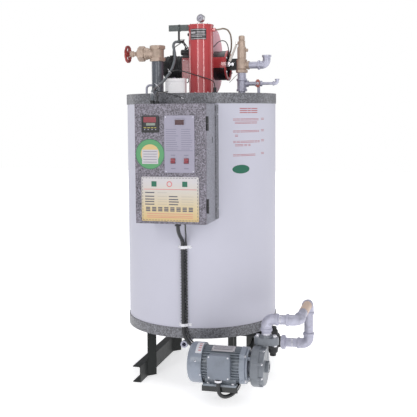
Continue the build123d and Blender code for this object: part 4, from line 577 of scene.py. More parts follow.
PUMP_CABLE = [
    (0.047, -0.480, 0.802), (0.047, -0.480, 0.784), (0.045, -0.470, 0.763), (0.040, -0.446, 0.740),
    (0.031, -0.415, 0.722), (0.024, -0.391, 0.708), (0.0215, -0.380, 0.694), (0.0215, -0.380, 0.299),
    (0.024, -0.387, 0.279), (0.033, -0.393, 0.256), (0.050, -0.398, 0.233), (0.078, -0.400, 0.213),
    (0.112, -0.401, 0.197), (0.146, -0.401, 0.185), (0.176, -0.402, 0.178), (0.200, -0.412, 0.177),
    (0.200, -0.428, 0.177),
]
SUPPLY_CABLE = [
    (-0.184, 0.010, 1.414), (-0.184, -0.012, 1.414), (-0.177, -0.048, 1.411), (-0.174, -0.098, 1.407),
    (-0.170, -0.150, 1.404), (-0.161, -0.210, 1.403), (-0.148, -0.272, 1.403), (-0.132, -0.326, 1.403),
    (-0.114, -0.378, 1.402), (-0.097, -0.424, 1.397), (-0.086, -0.456, 1.385), (-0.086, -0.462, 1.370),
    (-0.086, -0.462, 1.358),
]
BURNER_CONDUIT = [
    (-0.118, -0.014, 1.666), (-0.130, -0.014, 1.666), (-0.1395, -0.016, 1.657), (-0.141, -0.020, 1.643),
    (-0.133, -0.029, 1.622), (-0.123, -0.046, 1.590), (-0.121, -0.078, 1.548), (-0.128, -0.125, 1.503),
    (-0.140, -0.190, 1.461), (-0.146, -0.262, 1.434), (-0.142, -0.334, 1.420), (-0.128, -0.400, 1.409),
    (-0.114, -0.448, 1.394), (-0.108, -0.468, 1.378), (-0.108, -0.468, 1.361),
]
SENSOR_CABLE = [
    (-0.119, -0.128, 1.510), (-0.106, -0.120, 1.516), (-0.088, -0.106, 1.518), (-0.058, -0.088, 1.509),
    (-0.020, -0.077, 1.496), (0.026, -0.073, 1.482), (0.058, -0.068, 1.472), (0.077, -0.060, 1.462),
    (0.084, -0.054, 1.448), (0.084, -0.054, 1.431),
]
TIP_WIRE = [
    (-0.1308, -0.3453, 1.4127), (-0.112, -0.361, 1.407), (-0.084, -0.379, 1.402), (-0.048, -0.387, 1.393),
    (-0.020, -0.387, 1.385), (0.016, -0.383, 1.371),
]
BURNER_LEADS = [
    [(-0.106, -0.0175, 1.6625), (-0.098, -0.0175, 1.6625), (-0.088, -0.014, 1.655), (-0.082, -0.006, 1.642),
     (-0.076, 0.0, 1.632), (-0.066, 0.0, 1.632)],
    [(-0.106, -0.0105, 1.6625), (-0.098, -0.0105, 1.6625), (-0.091, 0.002, 1.655), (-0.084, 0.020, 1.636),
     (-0.075, 0.038, 1.612), (-0.062, 0.052, 1.591), (-0.045, 0.052, 1.591)],
    [(-0.106, -0.0105, 1.6695), (-0.097, -0.0105, 1.6695), (-0.091, 0.0, 1.668), (-0.094, 0.020, 1.664),
     (-0.102, 0.052, 1.663), (-0.112, 0.088, 1.664), (-0.118, 0.112, 1.664), (-0.118, 0.122, 1.655),
     (-0.118, 0.122, 1.642)],
    [(-0.106, -0.0175, 1.6695), (-0.096, -0.0175, 1.6695), (-0.088, -0.010, 1.672), (-0.090, 0.008, 1.674),
     (-0.106, 0.034, 1.670), (-0.136, 0.068, 1.660), (-0.166, 0.098, 1.650), (-0.183, 0.116, 1.638),
     (-0.186, 0.124, 1.623), (-0.186, 0.124, 1.607)],
    [(0.036, 0.072, 1.640), (0.046, 0.072, 1.640), (0.057, 0.074, 1.652), (0.071, 0.080, 1.668),
     (0.089, 0.092, 1.676), (0.105, 0.108, 1.670), (0.113, 0.124, 1.646), (0.112, 0.136, 1.616),
     (0.112, 0.138, 1.600), (0.112, 0.138, 1.584)],
    [(-0.118, 0.112, 1.486), (-0.118, 0.112, 1.474), (-0.113, 0.112, 1.463), (-0.102, 0.112, 1.463),
     (-0.097, 0.112, 1.474), (-0.097, 0.112, 1.486)],
    [(-0.106, -0.014, 1.666), (-0.097, -0.014, 1.666), (-0.086, -0.008, 1.660), (-0.078, 0.008, 1.646),
     (-0.073, 0.030, 1.627), (-0.063, 0.049, 1.613), (-0.045, 0.049, 1.613)],
]
CONDUIT_RADIUS = 0.009
GREY_RADIUS = 0.007
CABLE_RADIUS = 0.004
SENSOR_RADIUS = 0.0025
WIRE_RADIUS = 0.0015
LEAD_RADIUS = 0.0024


def route(name, points, radius, look):
    """A smooth cord through its route's points."""
    data = bpy.data.curves.new(name, "CURVE")
    data.dimensions = "3D"
    spline = data.splines.new("NURBS")
    spline.points.add(len(points) - 1)
    for place, point in zip(points, spline.points):
        point.co = (*place, 1)
    spline.order_u = 3
    spline.use_endpoint_u = True
    spline.resolution_u = 8
    data.bevel_depth = radius
    data.bevel_resolution = 3
    data.use_fill_caps = True
    made = bpy.data.objects.new(name, data)
    scene.collection.objects.link(made)
    data.materials.append(LOOKS[look])
    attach(made, "root")
    return made


def line_of(points):
    """Points read along the NURBS spline of a route, in millimetres."""
    probe = route("probe", points, 0.0, "cord")
    bpy.context.view_layer.update()
    mesh = bpy.data.meshes.new_from_object(probe)
    places = [v.co.copy() / MM for v in mesh.vertices]
    bpy.data.meshes.remove(mesh)
    curve = probe.data
    bpy.data.objects.remove(probe)
    bpy.data.curves.remove(curve)
    return places


def even(places, step):
    """Points at even spacing along a line of points."""
    out = [places[0]]
    left = step
    for a, b in zip(places, places[1:]):
        run = (b - a).length
        while left <= run:
            out.append(a + (b - a) * (left / run))
            left += step
        left -= run
    return out


def cord_length(points):
    places = line_of(points)
    return sum((b - a).length for a, b in zip(places, places[1:])) * MM


def ribbed(name, points, radius, pitch, depth, look):
    """A corrugated conduit: a tube whose radius swells at each rib."""
    places = even(line_of(points), pitch / 4)
    radii = [(radius - depth * (1, 0.3, 0, 0.3)[i % 4]) / MM for i in range(len(places))]
    return piece(name, lambda bm: sleeve(bm, places, radii, 18), look, sharp=75)


conduit = ribbed("ribbed_conduit", PUMP_CONDUIT, CONDUIT_RADIUS, 5.0, 0.0009, "cord")
cord_length(PUMP_CONDUIT)
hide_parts("pump_conduit")

grey = ribbed("grey_conduit", BURNER_CONDUIT, GREY_RADIUS, 3.2, 0.0006, "cord_grey")
cord_length(BURNER_CONDUIT)
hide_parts("burner_conduit")

for cord_name, points, radius, look, node, far in (
        ("pump_lead", PUMP_CABLE, CABLE_RADIUS, "cord_gloss", "black_cables", "object"),
        ("supply_lead", SUPPLY_CABLE, CABLE_RADIUS, "cord", "black_cables", "object"),
        ("sensor_lead", SENSOR_CABLE, SENSOR_RADIUS, "cord", "thin_leads", "object"),
        ("tip_lead", TIP_WIRE, WIRE_RADIUS, "cord", "thin_leads", "bare"),
        *((f"burner_lead_{i}", points, LEAD_RADIUS, "cord", "thin_leads", "object")
          for i, points in enumerate(BURNER_LEADS))):
    made = route(cord_name, points, radius, look)
    cord_length(points)
    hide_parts(node)


# Burner: lid and foot bolts, plate and knob on the tube, and the strap under the support bar

TUBE_RADIUS = 62
LID_TOP = 1748
LID_BOLT_CIRCLE = 52
TUBE_FOOT_TOP = 1404
FOOT_BOLT_CIRCLE = 64.5
TUBE_PLATE = (-41, 40, 1670, 1724)
# Each mark lies from the plate's left edge in degrees, and from its foot in millimetres
PLATE_MARKS = ((2, 79, 48, 51), (2, 79, 3, 6), (4, 30, 30, 40), (36, 75, 37, 40), (36, 75, 30, 33),
               (4, 77, 21, 24), (4, 61, 14, 17))
KNOB_HEIGHT = 1701
KNOB_PROFILE = ((0, 0), (0, 5), (3, 5), (3, 7), (5, 8), (8, 7), (9, 4), (9, 0))
HANGER = (-112, -14)
HANGER_RUN = ((1674, 4.6), (1676, 5.2), (1700, 5.2), (1716, 5.2), (1718, 4.6))
STRAP = ((-116, -108), (-9, 9), (1718.4, 1752.6))
STRAP_THICK = 1.6
STRAP_SIDE = 2
STRAP_TAIL = ((-107, -11, 1675), (-99, -14, 1677), (-90, -16, 1677), (-80, -17, 1675))
STRAP_TAIL_RADIUS = 1.1


def tube_bolts(bm):
    bolts(bm, ring_points((0, 0, LID_TOP), UP, LID_BOLT_CIRCLE, 6, 30), UP, across=9, head=4, washer=1.2)
    bolts(bm, ring_points((0, 0, TUBE_FOOT_TOP), UP, FOOT_BOLT_CIRCLE, 6, 15), UP, across=6, head=4,
          washer=0.6)


def tube_plate_lines(bm):
    left, _, foot, _ = TUBE_PLATE
    for start, end, low, high in PLATE_MARKS:
        curved(bm, (left + start, left + end, foot + low, foot + high), TUBE_RADIUS + 0.6, 0.35)


def strap_dressing(bm):
    sleeve(bm, [Vector((*HANGER, z)) for z, _ in HANGER_RUN], [radius for _, radius in HANGER_RUN])
    (x0, x1), (y0, y1), (z0, z1) = STRAP
    for low, high in (((x0, y0, z1 - STRAP_THICK), (x1, y1, z1)), ((x0, y0, z0), (x1, y1, z0 + STRAP_THICK)),
                      ((x0, y0, z0), (x1, y0 + STRAP_SIDE, z1)), ((x0, y1 - STRAP_SIDE, z0), (x1, y1, z1))):
        slab(bm, low, high, soften=0.5)
    sleeve(bm, [Vector(place) for place in STRAP_TAIL], [STRAP_TAIL_RADIUS] * len(STRAP_TAIL), 8)


piece("tube_bolts", tube_bolts, "bright")
piece("tube_plate", lambda bm: curved(bm, TUBE_PLATE, TUBE_RADIUS - 0.1, 0.8), "plate_black")
piece("tube_plate_lines", tube_plate_lines, "plate_silver")
piece("tube_knob", lambda bm: turned(bm, (1 - TUBE_RADIUS, 0, KNOB_HEIGHT), LEFT, KNOB_PROFILE), "black")
piece("strap_dressing", strap_dressing, "black")

# Pressure gauge: dial, ticks, needle and bezel

GAUGE_FACING = Vector((-0.32, -0.9, 0.25)).normalized()
GAUGE_DIAL = Vector((2, -2, 1779)) + GAUGE_FACING * 8.4
DIAL_RADIUS = 17.8
BEZEL_RADII = (16.8, 20.4)
SWEEP_START = 225
SWEEP = -270
TICKS = 27
TICK_RIM = 15.6
NEEDLE = ((-5, -0.9), (12.5, -0.25), (12.5, 0.25), (-5, 0.9))
NEEDLE_BACK = 20


def on_dial(lift, turn):
    spun = Matrix.Rotation(radians(turn), 4, "Z")
    return frame_at(GAUGE_DIAL + GAUGE_FACING * lift, GAUGE_FACING, RIGHT) @ spun


def gauge_ticks(bm):
    for tick in range(TICKS + 1):
        long = 3.6 if tick % 3 == 0 else 2.2
        bar_at(bm, on_dial(0.5, SWEEP_START + SWEEP * tick / TICKS), TICK_RIM - long / 2, 0, width=long,
               height=0.5, thick=0.15)


def gauge_needle(bm):
    at = on_dial(0.9, SWEEP_START - NEEDLE_BACK)
    sheet_of(bm, NEEDLE, 0.3, at)
    barrel(bm, at.translation, GAUGE_FACING, length=0.8, radius=2.1)


piece("gauge_dial", lambda bm: barrel(bm, GAUGE_DIAL, GAUGE_FACING, 0.5, DIAL_RADIUS, steps=48), "dial")
piece("gauge_ticks", gauge_ticks, "ink_dark")
piece("gauge_needle", gauge_needle, "black")
piece("gauge_bezel", lambda bm: ring(bm, GAUGE_DIAL + GAUGE_FACING * 1.2, GAUGE_FACING, 1.4, *BEZEL_RADII),
      "bright")

# Burner: screws on the scroll, adapter, motor and fuel pump, inlet bolts, and marks on the relay

SCROLL_FACES = ((-45, LEFT), (36, RIGHT))
SCROLL_AXIS = (160, 1576)
SCROLL_SCREW_CIRCLE = 152
ADAPTER_SCREWS = grid((-122, -56), (106,), (1484, 1580))
MOTOR_END = (-238, 160, 1547)
MOTOR_SCREW_CIRCLE = 42
FUEL_PUMP_SCREWS = grid((166,), (137, 183), (1533, 1577))
FUEL_PUMP_NUT = (114, 118, 1555)
FUEL_PUMP_PLUG = (136, 122, 1555)
INLET_FACE = (108, 160, 1550)
INLET_BOLT_CIRCLE = 71
RELAY_SEAM = ((-196.2, 9.8, 1466), (-88.8, 44.2, 1467))
RELAY_GLAND = (-150, 27, 1481)
RELAY_SCREW = (-170, 10, 1456)


def scroll_screws(bm):
    for x, way in SCROLL_FACES:
        screws(bm, ring_points((x, *SCROLL_AXIS), way, SCROLL_SCREW_CIRCLE, 12, 15), way, radius=3.6,
               height=2.2, turn=20)
    screws(bm, ADAPTER_SCREWS, FRONT, radius=3.6, height=2.2, turn=35)
    screws(bm, ring_points(MOTOR_END, LEFT, MOTOR_SCREW_CIRCLE, 4, 45), LEFT, radius=3.4, height=2.0, turn=10)
    screws(bm, FUEL_PUMP_SCREWS, RIGHT, radius=3.0, height=1.8, turn=25)


def inlet_bolts(bm):
    bolts(bm, ring_points(INLET_FACE, RIGHT, INLET_BOLT_CIRCLE, 6), RIGHT, across=8, head=3.6, washer=1)
    bolt(bm, FUEL_PUMP_NUT, FRONT, across=15, head=7, washer=1)
    bolt(bm, FUEL_PUMP_PLUG, FRONT, across=9, head=4, washer=0.8)


def relay_seams(bm):
    slab(bm, *RELAY_SEAM)
    barrel(bm, RELAY_GLAND, UP, length=7, radius=5)


piece("scroll_screws", scroll_screws, "bright")
piece("inlet_bolts", inlet_bolts, "bright")
piece("relay_seams", relay_seams, "ink_grey")
piece("relay_screw", lambda bm: pan_screw(bm, RELAY_SCREW, FRONT, radius=4.2, height=1.6, turn=15), "bright")

# Drum: ruled notice, plain oval, lap seam with rivets at the back, and laps of the bands

DRUM_RADIUS = 375
BAND_RADIUS = 378.5
BAND_FEET = (238, 1348)
BAND_HEIGHT = 50
INK = 0.3
NOTICE_TITLE = (43.4, 60.2, 1302, 1326)
NOTICE_SPAN = (38.0, 68.1)
# Each row has its middle's height, and its start and end as shares of the notice's span
NOTICE_ROWS = ((1272, 0.0, 0.78), (1257, 0.05, 0.72), (1216, 0.0, 0.80), (1196, 0.05, 0.13),
               (1167, 0.0, 0.82), (1151, 0.05, 0.50), (1104, 0.0, 0.66), (1274, 0.88, 1.0),
               (1219, 0.88, 1.0), (1171, 0.88, 1.0), (1109, 0.88, 1.0))
RULE_HEIGHT = 2.6
RULE_RISE = 3.0
OVAL_ANGLE = 44.6
OVAL_HEIGHT = 1038
OVAL_HALF = (48, 20.5)
OVAL_STEPS = 32
SEAM = (175.6, 184.4, 288, 1348)
SEAM_THICK = 1.4
RIVET_ROWS = (176.9, 183.1)
RIVET_SPAN = (312, 1324)
RIVETS = 18
RIVET_PROFILE = ((0, 0), (0, 4), (1.4, 3.2), (2.2, 1.4), (2.2, 0))
LAP = (146, 162)
LAP_MARGIN = 3
LAP_SCREWS = (150, 158)


def on_drum(bm, box, lift=-0.1, thick=INK):
    curved(bm, box, DRUM_RADIUS + lift, thick)


def drum_out(angle):
    """The way out from the drum's axis, at an angle from the front towards the right."""
    return Vector((sin(radians(angle)), -cos(radians(angle)), 0))


def notice_lines(bm):
    """Each row is a pair of rules over its share of the notice's span."""
    first, last = NOTICE_SPAN
    for middle, start, end in NOTICE_ROWS:
        for z in (middle - RULE_RISE, middle + RULE_RISE):
            on_drum(bm, (first + (last - first) * start, first + (last - first) * end, z - RULE_HEIGHT / 2,
                         z + RULE_HEIGHT / 2))


def notice_title(bm):
    first, last, low, high = NOTICE_TITLE
    for line in range(3):
        foot = low + line * (high - low) * 0.4
        on_drum(bm, (first, last, foot, foot + (high - low) * 0.2))


def drum_oval(bm):
    """A plain oval sheet laid on the drum, built from narrow columns."""
    columns = []
    inner, outer = DRUM_RADIUS - 0.2, DRUM_RADIUS + 0.4
    for step in range(OVAL_STEPS + 1):
        turn = pi * step / OVAL_STEPS
        angle = radians(OVAL_ANGLE) - OVAL_HALF[0] * cos(turn) / DRUM_RADIUS
        reach = max(0.4, OVAL_HALF[1] * sin(turn))
        verts = [bm.verts.new((r * sin(angle), -r * cos(angle), OVAL_HEIGHT + rise))
                 for r, rise in ((inner, -reach), (outer, -reach), (outer, reach), (inner, reach))]
        columns.append([bm.edges.new(pair) for pair in zip(verts, verts[1:] + verts[:1])])
        if step in (0, OVAL_STEPS):
            bm.faces.new(verts)
    bridged(bm, columns)


def drum_rivets(bm):
    low, high = RIVET_SPAN
    for side in RIVET_ROWS:
        out = drum_out(side)
        for step in range(RIVETS):
            rise = Vector((0, 0, low + step * (high - low) / (RIVETS - 1)))
            turned(bm, out * (DRUM_RADIUS + 1.1) + rise, out, RIVET_PROFILE, 14)
    for foot in BAND_FEET:
        for out in map(drum_out, LAP_SCREWS):
            middle = Vector((0, 0, foot + BAND_HEIGHT / 2))
            pan_screw(bm, out * BAND_RADIUS + middle, out, radius=4.5, height=2.4, turn=30)


def band_laps(bm):
    for foot in BAND_FEET:
        box = (*LAP, foot + LAP_MARGIN, foot + BAND_HEIGHT - LAP_MARGIN)
        curved(bm, box, BAND_RADIUS - 0.2, 1.2)


piece("notice_lines", notice_lines, "ink_pink")
piece("notice_title", notice_title, "ink_pink")
piece("drum_oval", drum_oval, "ink_green", sharp=60)
piece("drum_seam", lambda bm: on_drum(bm, SEAM, -0.2, SEAM_THICK), "white")
piece("drum_rivets", drum_rivets, "bright")
piece("band_laps", band_laps, "band")

# Control box: gasket, hinge and cheek screws, and the latch's slot

CASE_SIDE = 165
CASE_FRONT = -536
GASKET = (-160, 160, 812, 1341)
GASKET_WIDTH = 6
HINGE_SIDE = 168
HINGE_HEIGHTS = (890, 1257)
HINGE_SCREW_RISES = (-20, 0, 20)
CHEEK_SIDE = 170
CHEEK_SCREW_Y = -350
CHEEK_SCREW_HEIGHTS = (1299, 860)
LATCH = ((-435.5, -426), (1168, 1194))


def case_gasket(bm):
    x0, x1, z0, z1 = GASKET
    y0, y1 = CASE_FRONT - 0.8, CASE_FRONT + 1
    wide = GASKET_WIDTH
    for low, high in (((x0, y0, z0), (x0 + wide, y1, z1)), ((x1 - wide, y0, z0), (x1, y1, z1)),
                      ((x0, y0, z0), (x1, y1, z0 + wide)), ((x0, y0, z1 - wide), (x1, y1, z1))):
        slab(bm, low, high)


def case_screws(bm):
    for height in HINGE_HEIGHTS:
        for rise in HINGE_SCREW_RISES:
            pan_screw(bm, (HINGE_SIDE, CASE_FRONT + 8, height + rise), RIGHT, radius=3.0, height=1.6,
                      turn=15 + rise)
    for side, way in ((CHEEK_SIDE, RIGHT), (-CHEEK_SIDE, LEFT)):
        screws(bm, grid((side,), (CHEEK_SCREW_Y,), CHEEK_SCREW_HEIGHTS), way, radius=4.2, height=2.2, turn=20)


def case_latch(bm):
    (y0, y1), (z0, z1) = LATCH
    slab(bm, (CASE_SIDE - 0.5, y0, z0), (CASE_SIDE + 0.8, y1, z1), soften=0.4)


piece("case_gasket", case_gasket, "black")
piece("case_screws", case_screws, "bright")
piece("case_latch", case_latch, "black")

# Door label: a printed sheet with a broken border, plain rules and blocks

DOOR_FACE = -551
LABEL = (-136, 131, 819, 1019)
LABEL_THICK = 0.5
INK_FACE = DOOR_FACE - LABEL_THICK + 0.05
BORDER_INSET = 5
BORDER_DASH = 9
BORDER_WIDTH = 2.2
BORDER_COUNTS = (18, 13)
LABEL_ROWS = (948, 931, 918, 907, 895)
BOLD_COLUMNS = ((-120, -72), (-8, 40))
RULE_COLUMNS = ((-61, -16), (51, 107))
BLOCKS = 8
BLOCK_START = -116
BLOCK_PITCH = 28.6
BLOCK_WIDTH = 20
BLOCK_BARS = ((863.5, 869), (871, 876), (878, 883))
SMALL_ROWS = (853, 843, 836)
SMALL_SPAN = (-112, 104)
SQUARES = (-77, 67)
SQUARE_HALF = 12
LABEL_HEAD = 987
RING_X = -5
RING_RADII = (9, 13)
HEAD_RULE = (-125, 122, 961.8, 964.2)


def front(y):
    """The door's plane at a depth: local X is the row's X and local Y is the row's Z."""
    return frame_at((0, y, 0), FRONT, RIGHT)


def strips(y, boxes, thick=INK):
    """A builder of flat strips at a depth, one for each (x0, x1, z0, z1)."""
    def build(bm):
        for x0, x1, z0, z1 in boxes:
            bar_at(bm, front(y), (x0 + x1) / 2, (z0 + z1) / 2, x1 - x0, z1 - z0, thick)
    return build


def rules(columns, rows, half):
    return [(x0, x1, row - half, row + half) for row in rows for x0, x1 in columns]


def label_sheet(bm):
    x0, x1, z0, z1 = LABEL
    at = front(DOOR_FACE + 0.1) @ Matrix.Translation(((x0 + x1) / 2, (z0 + z1) / 2, 0))
    sheet_of(bm, rounded(x1 - x0, z1 - z0, 4), LABEL_THICK + 0.1, at)


def label_border():
    x0, x1, z0, z1 = LABEL
    left, right, foot, head = x0 + BORDER_INSET, x1 - BORDER_INSET, z0 + BORDER_INSET, z1 - BORDER_INSET
    half = BORDER_WIDTH / 2
    across, up = BORDER_COUNTS
    boxes = []
    for i in range(across):
        start = left + i * (right - left) / across
        boxes += [(start, start + BORDER_DASH, z - half, z + half) for z in (foot, head)]
    for i in range(up):
        start = foot + i * (head - foot) / up
        boxes += [(x - half, x + half, start, start + BORDER_DASH) for x in (left, right)]
    return boxes


def label_cells(columns):
    """Rows and columns of the label, whose first row has only the first column."""
    return [(row, *column) for row in LABEL_ROWS
            for column in (columns[:1] if row == LABEL_ROWS[0] else columns)]


def bold_rows():
    dice = random.Random(11)
    boxes = [(x0, x1 - dice.uniform(0, 8), row - 2.4, row + 2.4) for row, x0, x1 in label_cells(BOLD_COLUMNS)]
    for block in range(BLOCKS):
        x = BLOCK_START + block * BLOCK_PITCH
        boxes += [(x, x + BLOCK_WIDTH, low, high) for low, high in BLOCK_BARS]
    return boxes


def label_ring(bm):
    ring(bm, (RING_X, INK_FACE, LABEL_HEAD), FRONT, INK, *RING_RADII)
    strips(INK_FACE, (HEAD_RULE,))(bm)


piece("label_sheet", label_sheet, "door_label", "door")
piece("label_border", strips(INK_FACE, label_border()), "ink_dark", "door")
piece("label_rows", strips(INK_FACE, [(x0, x1, row - 0.6, row + 0.6) for row, x0, x1 in
                                      label_cells(RULE_COLUMNS)]), "ink_soft", "door")
piece("label_bold_rows", strips(INK_FACE, bold_rows()), "ink_dark", "door")
piece("label_small_rows", strips(INK_FACE, rules((SMALL_SPAN,), SMALL_ROWS, 1)), "ink_red", "door")
piece("label_squares", strips(INK_FACE, [(x - SQUARE_HALF, x + SQUARE_HALF, LABEL_HEAD - SQUARE_HALF,
                                          LABEL_HEAD + SQUARE_HALF) for x in SQUARES]), "ink_green", "door")
piece("label_ring", label_ring, "ink_red", "door")

# Door sticker: a green disc with a dark rim, a yellow disc and a ruled white sheet

STICKER_X = -94
STICKER_Z = 1121
STICKER_RADIUS = 68
STICKER_RIM = (65.4, 67.8)
YELLOW_RADIUS = 44
STICKER_SHEET = (-132, -56, 1077, 1141)
STICKER_ROWS = (1133, 1121, 1109, 1097, 1085)
STICKER_ROW_SPAN = (-126, -62)


def disc(radius, lift, thick):
    return lambda bm: barrel(bm, (STICKER_X, DOOR_FACE - lift, STICKER_Z), FRONT, thick, radius, steps=64)


def sticker_rim(bm):
    ring(bm, (STICKER_X, DOOR_FACE - 0.3, STICKER_Z), FRONT, INK, *STICKER_RIM, steps=64)


piece("sticker_green", disc(STICKER_RADIUS, -0.1, 0.5), "green", "door")
piece("sticker_rim", sticker_rim, "ink_rim", "door")
piece("sticker_yellow", disc(YELLOW_RADIUS, 0.3, 0.4), "yellow", "door")
piece("sticker_white", strips(DOOR_FACE - 0.7, (STICKER_SHEET,), 0.25), "sticker_white", "door")
piece("sticker_rows", strips(DOOR_FACE - 0.9, rules((STICKER_ROW_SPAN,), STICKER_ROWS, 1.2), 0.2),
      "ink_panel", "door")

# Door panel and controller: rules, rivets, windows and marks, with the switches' bodies behind

PANEL_FACE = -554
PANEL_COLUMNS = ((-19, 40), (53, 106))
PANEL_ROWS = 10
PANEL_TOP_ROW = 1232
PANEL_ROW_PITCH = 9.7
PANEL_RULE = (-19, 106, 1136, 1138)
TAG_COLUMNS = ((4, 25), (65, 86))
TAG_ROWS = (1117, 1057)
PRINT = 0.25
PANEL_RIVETS = grid((-19, 107), (PANEL_FACE + 0.2,), (1045, 1287))
PANEL_RIVET_PROFILE = ((0, 0), (0, 3), (0.9, 2.4), (1.4, 1), (1.4, 0))
PANEL_WINDOW = (25, 67, 1251.5, 1274.5)
PANEL_WINDOW_FACE = -556.9
ROCKER_X = (14, 76)
ROCKER_Z = 1091
SWITCH_FRONT = -547
SWITCH_BACK = -526
SWITCH_HALF = (10, 11)
TAB_RISES = (-7, 0, 7)
TAB_HALF = (2.4, 0.4)
TAB_LENGTH = 8
CONTROLLER_FACE = -559
CONTROLLER_GLASS = -556.5
UPPER_DISPLAY = (-122, -63, 1263, 1288)
LOWER_DISPLAY = (-109, -67, 1249, 1260)
CONTROLLER_MARKS = ((-121, -108), (-104, -91), (-87, -76), (-72, -62))
MARK_SPAN = (1238, 1240.4)
KEYS = (-116, -99, -81, -64)
KEY_HALF = 2.5
KEY_SPAN = (1229.5, 1233.5)


def panel_rows():
    dice = random.Random(5)
    boxes = []
    for row in range(PANEL_ROWS):
        z = PANEL_TOP_ROW - row * PANEL_ROW_PITCH
        boxes += [(x0, x1 - dice.uniform(0, 14), z - 1, z + 1) for x0, x1 in PANEL_COLUMNS]
    return boxes + [PANEL_RULE] + rules(TAG_COLUMNS, TAG_ROWS, 1.5)


def panel_rivets(bm):
    for place in PANEL_RIVETS:
        turned(bm, place, FRONT, PANEL_RIVET_PROFILE, 16)


def switch_bodies(bm):
    wide, high = SWITCH_HALF
    for x in ROCKER_X:
        slab(bm, (x - wide, SWITCH_FRONT, ROCKER_Z - high), (x + wide, SWITCH_BACK, ROCKER_Z + high),
             soften=0.8)


def switch_tabs(bm):
    wide, high = TAB_HALF
    for x in ROCKER_X:
        for z in (ROCKER_Z + rise for rise in TAB_RISES):
            slab(bm, (x - wide, SWITCH_BACK - 0.5, z - high), (x + wide, SWITCH_BACK + TAB_LENGTH, z + high))


piece("panel_rows", strips(PANEL_FACE + 0.1, panel_rows(), PRINT), "ink_panel", "door")
piece("panel_rivets", panel_rivets, "bright", "door")
piece("panel_window", strips(PANEL_WINDOW_FACE, (PANEL_WINDOW,), 0.4), "window", "door")
piece("controller_red", strips(CONTROLLER_GLASS + 0.1, (UPPER_DISPLAY,), 0.4), "lit_red", "door")
piece("controller_green", strips(CONTROLLER_GLASS + 0.1, (LOWER_DISPLAY,), 0.4), "lit_green", "door")
piece("controller_marks", strips(CONTROLLER_GLASS + 0.1, [(*mark, *MARK_SPAN) for mark in CONTROLLER_MARKS],
                                 PRINT), "ink_yellow", "door")
piece("switch_bodies", switch_bodies, "black", "door")
piece("switch_tabs", switch_tabs, "bright", "door")
piece("key_marks", strips(CONTROLLER_FACE + 1.1, [(x - KEY_HALF, x + KEY_HALF, *KEY_SPAN) for x in KEYS],
                          PRINT), "ink_grey", "door")

# Valves: handwheel nut, lever pin heads, vent nut, and a thin pale rod under the safety valve

WHEEL_FACE = (-387, -40, 1607)
LEVER_PIN = (195, -40, 1648)
FORK_HALF = 8
PIN_PROFILE = ((0, 0), (0, 5), (3, 5), (4, 4), (4, 0))
VENT_NUT = (304, -70.5, 1447)
DRAIN_ROD = ((197.5, -40, 1494.7), (176, -40, 1474), (155.8, -40, 1454.8))
DRAIN_ROD_RADIUS = 1.6


def lever_pin(bm):
    x, y, z = LEVER_PIN
    for side, way in ((-1, FRONT), (1, BACK)):
        turned(bm, (x, y + side * (FORK_HALF - 0.2), z), way, PIN_PROFILE, 20)


def drain_rod(bm):
    sleeve(bm, [Vector(place) for place in DRAIN_ROD], [DRAIN_ROD_RADIUS] * len(DRAIN_ROD), 10)


piece("wheel_nut", lambda bm: bolt(bm, WHEEL_FACE, LEFT, across=13, head=6, washer=1.5), "bright",
      "steam_handwheel")
piece("lever_pin", lever_pin, "bright")
piece("vent_nut_face", lambda bm: barrel(bm, VENT_NUT, FRONT, length=3, radius=2.6), "lever", "vent_handle")
piece("drain_rod", drain_rod, "lever")

# Feed pump set: bolts and screws, plates on the motor, collars, threads, heat sleeve and weld beads

PUMP_AXIS = (-520, 175)
FOOT_BOLTS = grid((178.5, 290.5), (-588, -452), (103,))
BASE_BOLTS = grid((239,), (-300, -230), (86,))
BELL_FACE = (343, *PUMP_AXIS)
BELL_BOLT_CIRCLE = 78
CASING_FACE = (420, *PUMP_AXIS)
CASING_BOLT_CIRCLE = 83
FLANGE_X = (384, 460)
FLANGE_Y = -480
FLANGE_TOP = 299
FLANGE_FOOT = 267
TERMINAL_LID_FACE = -625
TERMINAL_SCREWS = grid((190, 276), (TERMINAL_LID_FACE,), (141, 233))
COWL_RADIUS = 91
# Each cowl screw has its X and its angle up from the front
COWL_SCREWS = ((123, 19), (145, -20), (134, 161), (134, 200))
COWL_STICKER = (-88, -42, 118, 147)
COWL_STICKER_ROWS = (-80, -71, -62, -53)
COWL_STICKER_ROW_SPAN = (130, 143)
PLATE_RADIUS = 80.2
NAME_PLATE = (-96, -58, 187, 292)
NAME_PLATE_ROWS = ((-68.5, -66), (-73.4, -72), (-78.4, -77), (-83.4, -82), (-88.4, -87))
NAME_PLATE_ROW_SPAN = (196, 283)
NAME_PLATE_RIVETS = ((191, 61), (191, 93), (288, 61), (288, 93))
INLET_PIPE = (-130, 181)
OUTLET_PIPE = (FLANGE_Y, 381)
PIPE_RADIUS = 22
# Each collar, gland ring and sleeve has its place, its way, its length and its inner and outer radius
COLLARS = (((431, *INLET_PIPE), RIGHT, 2.5, 22, 27.6), ((230, -613, 119.5), UP, 9, 9.3, 16.2))
GLAND_RINGS = (((12, -480, 790), UP, 4, 9.6, 15), ((47, -480, 797), UP, 4, 4.6, 9),
               ((-108, -468, 1357), UP, 5, 7.6, 11.5), ((-86, -462, 1354), UP, 4, 4.6, 8.5))
HEAT_SLEEVE = ((566, -330, 381), BACK, 145, 20.8, 22.2)
PIPE_THREADS = (483, 486, 489)
RISER_THREADS = (310, 312, 314, 316)
LEG_CORNER = (183.6, 219, 82)
LEG_BEAD_REACH = 35.4
LEG_BEAD_RUN = 9


def on_motor(bm, box, radius, thick):
    """A thin sheet round the motor: its angles go down from the front, and its span lies along X."""
    curved(bm, box, radius, thick, (0, *PUMP_AXIS), RIGHT, FRONT)


def motor_out(angle):
    """The way out from the motor's axis, at an angle up from the front."""
    return Vector((0, -cos(radians(angle)), sin(radians(angle))))


